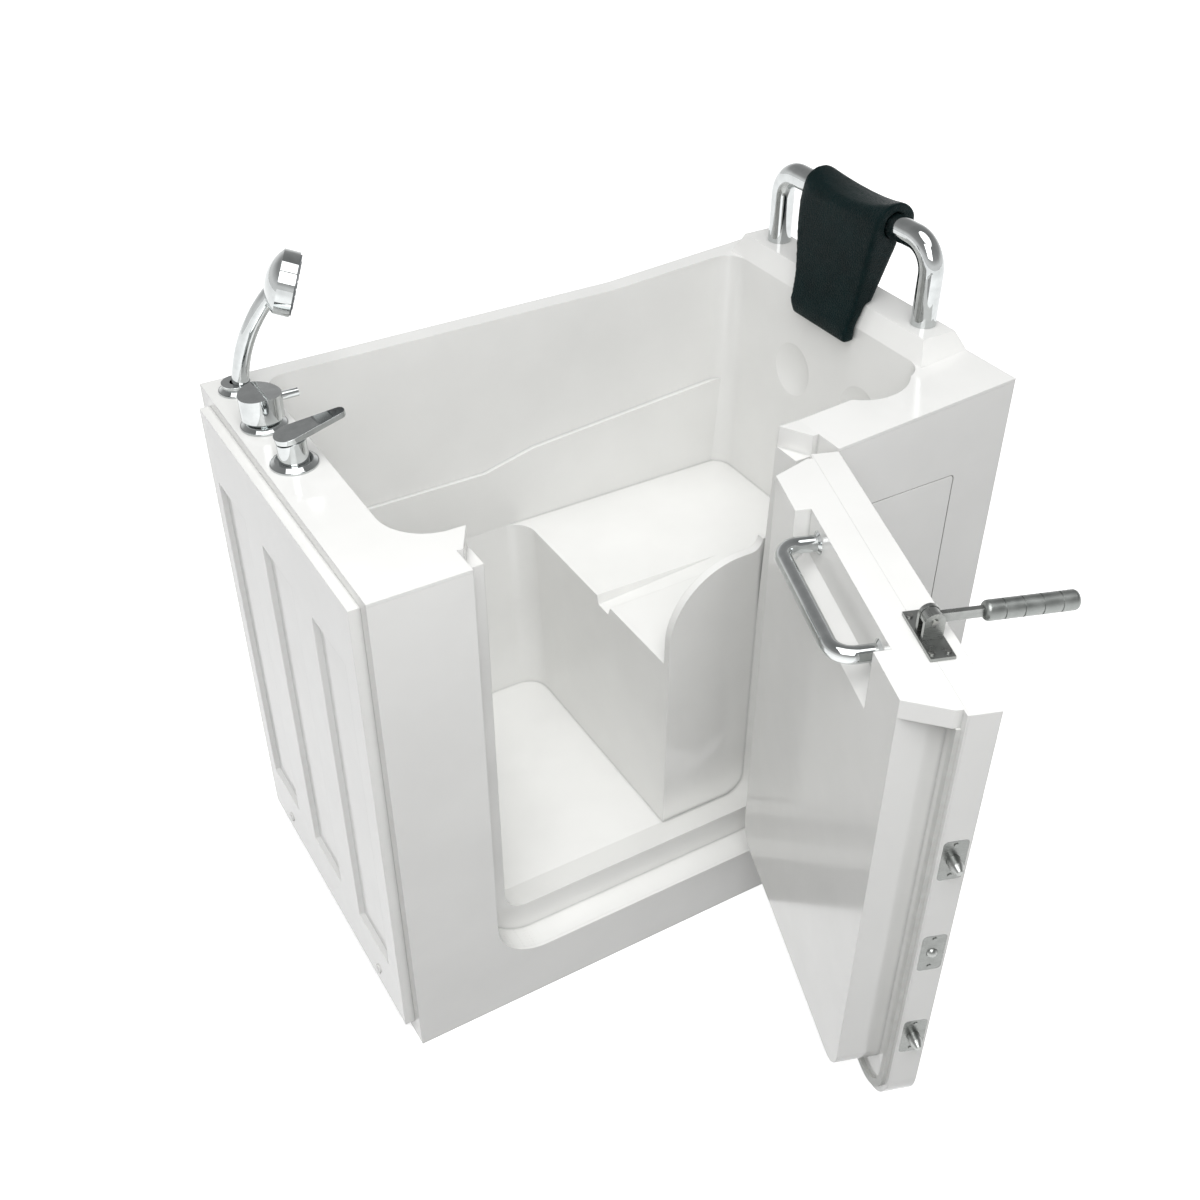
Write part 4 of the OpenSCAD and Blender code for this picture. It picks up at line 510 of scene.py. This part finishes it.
class StageSettings(bpy.types.PropertyGroup):
    floor_size: FloatProperty(
        name="Floor size", description="Side of the studio floor",
        default=60.0, min=5.0, max=200.0, unit="LENGTH", subtype="DISTANCE")
    key_power: FloatProperty(
        name="Key light", description="Power of the soft box in front of the object",
        default=39.0, min=0.0, max=500.0, unit="POWER")
    key_size: FloatProperty(
        name="Key size", description="Side of the soft box",
        default=1.7, min=0.1, max=10.0, unit="LENGTH", subtype="DISTANCE")
    key_place: FloatVectorProperty(
        name="Key place", description="Where the soft box hangs",
        default=(-0.95, -1.6, 2.7), size=3, unit="LENGTH", subtype="XYZ")
    top_strength: FloatProperty(
        name="Top light", description="Strength of the even light from overhead",
        default=1.3, min=0.0, max=10.0)
    top_direction: FloatVectorProperty(
        name="Top light direction", description="Where the overhead light comes from",
        default=(-0.08, -0.12, 1.0), size=3, subtype="XYZ")
    top_width: FloatProperty(
        name="Top light width", description="How wide the overhead light looks from the object",
        default=math.radians(50), min=0.0, max=math.pi, subtype="ANGLE", unit="ROTATION")
    sky_level: FloatProperty(
        name="Sky level", description="Strength of the even light from all round",
        default=0.92, min=0.0, max=3.0)
    floor_glow: FloatProperty(
        name="Floor glow", description="Part of the floor's white that its shadow doesn't take away",
        default=0.55, min=0.0, max=1.0, subtype="FACTOR")


class TUB_OT_mouldings(bpy.types.Operator):
    """Rounds and finishes the tub, its aprons and panels, and the door's two skins"""
    bl_idname = "tub.mouldings"
    bl_label = "Mouldings"

    def execute(self, context):
        settings = context.scene.tub_settings
        # B8B9B7 is the grey of the painted shade in creases and seams
        look = ("B8B9B7", "E9E9E7", settings.gelcoat_colour, settings.crease_shade_reach, settings.edge_radius)
        shell = gelcoat("Gelcoat, sprayed and polished, with floor grip", *look, grip=True)
        skins = gelcoat("Gelcoat, sprayed and polished", *look)
        dress(["tub_shell"], shell)
        dress(["front_apron", "seat_end_apron", "rear_corner", "access_panel", "end_access_panel",
               "door_outer_panel", "door_inner_panel"], skins)
        round_edges(["seat_end_apron", "rear_corner"], settings.edge_radius)
        round_edges(["access_panel"], settings.fine_radius * 2)
        dress(["end_panel_caps"], moulded("Polypropylene screw cap, moulded", "E4E4E1", "EEEEEC", 0.3, 0.42,
                                          1.49, 1.2, 0.03))
        dress(["door_gasket"], moulded("Silicone door seal, extruded", "C9CAC7", "D6D7D4", 0.45, 0.6,
                                       1.43, 3, 0.05))
        return {"FINISHED"}


class TUB_OT_headrest(bpy.types.Operator):
    """Makes the headrest cushion from the CAD pad"""
    bl_idname = "tub.headrest"
    bl_label = "Headrest cushion"

    def execute(self, context):
        settings = context.scene.tub_settings
        skin = skin_foam("Integral-skin polyurethane foam, grained", "071A1B", settings.foam_colour)
        make_headrest(settings, skin)
        return {"FINISHED"}


class TUB_OT_chrome(bpy.types.Operator):
    """Finishes the chromed taps, hand shower, rail, door handle, drain and overflow"""
    bl_idname = "tub.chrome"
    bl_label = "Chrome fittings"

    def execute(self, context):
        settings = context.scene.tub_settings
        plated = chrome("Chromium plate on brass, polished", "C0C3C3", "CDD0D0")
        dress(["mixer_flange", "mixer_body", "mixer_lever", "diverter_flange", "diverter_knob",
               "shower_flange", "shower_collar", "hand_shower_body", "backrest_rail", "door_grab_bar",
               "drain_body", "drain_plug", "overflow_plate", "overflow_knob", "fill_outlet"], plated)
        round_edges(["mixer_flange", "mixer_body", "mixer_lever", "diverter_flange", "diverter_knob",
                     "shower_flange", "shower_collar", "hand_shower_body"], settings.fine_radius, 2, 35, True)
        dress(["hand_shower_face"], moulded("Acetal spray face, moulded", "6B6E70", "7A7D7F", 0.35, 0.5,
                                            1.48, 1.2, 0.03))
        return {"FINISHED"}


class TUB_OT_latch(bpy.types.Operator):
    """Finishes the lever, its bracket, the bolts, the latch plates and the hinges"""
    bl_idname = "tub.latch"
    bl_label = "Latch and hinges"

    def execute(self, context):
        settings = context.scene.tub_settings
        cast = satin_metal("Cast zinc, satin nickel plated", "828482", "A4A6A4", 0.24, 0.36, (1, 1, 30), 0.6)
        grip = turned_grip("Turned aluminium grip, bead-blasted", "8A8D8B", "9C9F9D")
        plate = satin_metal("Stainless steel plate, brushed", "6E706E", "868886", 0.24, 0.34, (1, 1, 30), 0.6)
        # The strikes are the plates' stainless steel in darker colours: painted shade
        strike = satin_metal("Stainless steel strike, with painted shade", "5A5C5A", "6E706E", 0.3, 0.42, (1, 1, 30), 0.6)
        bolt = satin_metal("Stainless steel bolt, turned", "8C8E8C", "A4A6A4", 0.28, 0.38, (30, 1, 1), 0.6)
        zinc = zinc_plate("Zinc plate on steel", "8F9091", "B5B5B0")
        dress(["lever_bracket", "latch_lever"], cast)
        dress(["lever_grip"], grip)
        dress(["latch_faceplates", "latch_screws"], plate)
        dress(["strike_plates", "strike_screws"], strike)
        dress(["upper_bolt", "lower_bolt", "middle_catch"], bolt)
        dress(["bracket_screws", "lever_pivot_pin", "latch_cases", "latch_rod", "hinge_leaves_jamb",
               "hinge_leaves_door", "hinge_pins", "door_bar_bolts", "rail_nuts"], zinc)
        round_edges(["lever_bracket", "latch_lever", "lever_grip", "latch_faceplates", "strike_plates",
                     "upper_bolt", "lower_bolt"], settings.fine_radius, 2, 35, True)
        return {"FINISHED"}


class TUB_OT_frame(bpy.types.Operator):
    """Finishes the steel frame, the feet, the valves and the pipes"""
    bl_idname = "tub.frame"
    bl_label = "Frame and pipes"

    def execute(self, context):
        dress(["base_rails", "cross_bearers", "seat_frame", "rim_frame"],
              galvanised("Galvanised steel tube, hot-dipped", "7F8488", "A9AEB2"))
        dress(["foot_nuts", "deck_valves"], zinc_plate("Zinc plate, dull", "85868A", "A9AAA8"))
        dress(["foot_tap_front", "foot_tap_rear", "foot_seat_front", "foot_seat_rear", "foot_middle"],
              moulded("Rubber foot, moulded", "16171A", "222326", 0.6, 0.8, 1.52, 3, 0.05))
        dress(["waste_tailpiece", "overflow_pipe"],
              moulded("PVC waste pipe, extruded", "C9CAC6", "D4D5D1", 0.35, 0.5, 1.53, 1.2, 0.03))
        dress(["supply_pipes"], copper("Copper tube, drawn", "8A5236", "C98258"))
        return {"FINISHED"}


class TUB_OT_stage(bpy.types.Operator):
    """Makes the pale floor, the soft light and the camera"""
    bl_idname = "tub.stage"
    bl_label = "Stage and camera"

    def execute(self, context):
        settings = context.scene.stage_settings
        mesh = bpy.data.meshes.new("studio_floor")
        half = settings.floor_size / 2
        form = bmesh.new()
        bmesh.ops.create_grid(form, x_segments=4, y_segments=4, size=half)
        form.to_mesh(mesh)
        form.free()
        floor = link(bpy.data.objects.new("studio_floor", mesh))
        mesh.materials.append(studio_paper("Studio paper, matt", "FFFFFF", "606060", settings.floor_glow))

        world = bpy.data.worlds.new("studio")
        context.scene.world = world
        world.use_nodes = True
        tree = world.node_tree
        tree.nodes.clear()
        place = add_node(tree, "ShaderNodeTexCoord")
        axes = add_node(tree, "ShaderNodeSeparateXYZ", {"Vector": place.outputs["Generated"]})
        ramp = add_node(tree, "ShaderNodeValToRGB", {"Fac": axes.outputs["Z"]})
        stops = ramp.color_ramp.elements
        stops.remove(stops[1])
        for height, colour in SKY_COLOURS:
            stop = stops.new(height) if height else stops[0]
            stop.color = (*colour, 1.0)
        background = add_node(tree, "ShaderNodeBackground", {
            "Color": ramp.outputs["Color"], "Strength": settings.sky_level,
        })
        # The picture itself sees a white backdrop above the floor's edge
        backdrop = add_node(tree, "ShaderNodeBackground", {"Color": linear("FFFFFF"), "Strength": 1.0})
        ray = add_node(tree, "ShaderNodeLightPath")
        shown = add_node(tree, "ShaderNodeMixShader", {
            0: ray.outputs["Is Camera Ray"], 1: background.outputs[0], 2: backdrop.outputs[0],
        })
        add_node(tree, "ShaderNodeOutputWorld", {"Surface": shown.outputs[0]})

        box = bpy.data.lights.new("key", "AREA")
        box.size = settings.key_size
        box.energy = settings.key_power
        key = link(bpy.data.objects.new("key", box))
        key.location = settings.key_place
        key.rotation_mode = "QUATERNION"
        key.rotation_quaternion = (key.location - (CAD_LOW + CAD_HIGH) / 2).to_track_quat("Z", "Y")

        sun = bpy.data.lights.new("top", "SUN")
        sun.energy = settings.top_strength
        sun.angle = settings.top_width
        top = link(bpy.data.objects.new("top", sun))
        top.rotation_mode = "QUATERNION"
        top.rotation_quaternion = Vector(settings.top_direction).to_track_quat("Z", "Y")

        lens = bpy.data.cameras.new("camera")
        lens.sensor_fit = "HORIZONTAL"
        lens.sensor_width = SENSOR_MM
        lens.lens = FOCAL_LENGTH * SENSOR_MM
        lens.shift_y = LENS_SHIFT
        lens.clip_end = 200
        eye = link(bpy.data.objects.new("camera", lens))
        eye.location = CAMERA_PLACE
        level = math.cos(CAMERA_ELEVATION)
        back = Vector((math.sin(CAMERA_AZIMUTH) * level, -math.cos(CAMERA_AZIMUTH) * level,
                       math.sin(CAMERA_ELEVATION)))
        eye.rotation_mode = "QUATERNION"
        eye.rotation_quaternion = (-back).to_track_quat("-Z", "Y")
        context.scene.camera = eye
        context.scene.view_settings.view_transform = "Standard"
        return {"FINISHED"}


class TUB_PT_panel(bpy.types.Panel):
    """Shows the bathtub's settings and the buttons for its finishing steps"""
    bl_idname = "TUB_PT_panel"
    bl_label = "Walk-in bathtub"
    bl_space_type = "VIEW_3D"
    bl_region_type = "UI"
    bl_category = "Bathtub"

    def draw(self, context):
        for group in (context.scene.tub_settings, context.scene.stage_settings):
            for name in group.__annotations__:
                self.layout.prop(group, name)
        for step in STEPS:
            self.layout.operator(step)


STEPS = ("tub.mouldings", "tub.headrest", "tub.chrome", "tub.latch", "tub.frame", "tub.stage")
CLASSES = (TubSettings, StageSettings, TUB_OT_mouldings, TUB_OT_headrest, TUB_OT_chrome, TUB_OT_latch,
           TUB_OT_frame, TUB_OT_stage, TUB_PT_panel)


def register():
    for made in CLASSES:
        bpy.utils.register_class(made)
    bpy.types.Scene.tub_settings = PointerProperty(type=TubSettings)
    bpy.types.Scene.stage_settings = PointerProperty(type=StageSettings)


def unregister():
    del bpy.types.Scene.tub_settings
    del bpy.types.Scene.stage_settings
    for made in reversed(CLASSES):
        bpy.utils.unregister_class(made)


def main():
    register()
    for step in STEPS:
        group, name = step.split(".")
        if getattr(getattr(bpy.ops, group), name)() != {"FINISHED"}:
            raise RuntimeError(step + " did not finish")


if __name__ == "__main__":
    main()
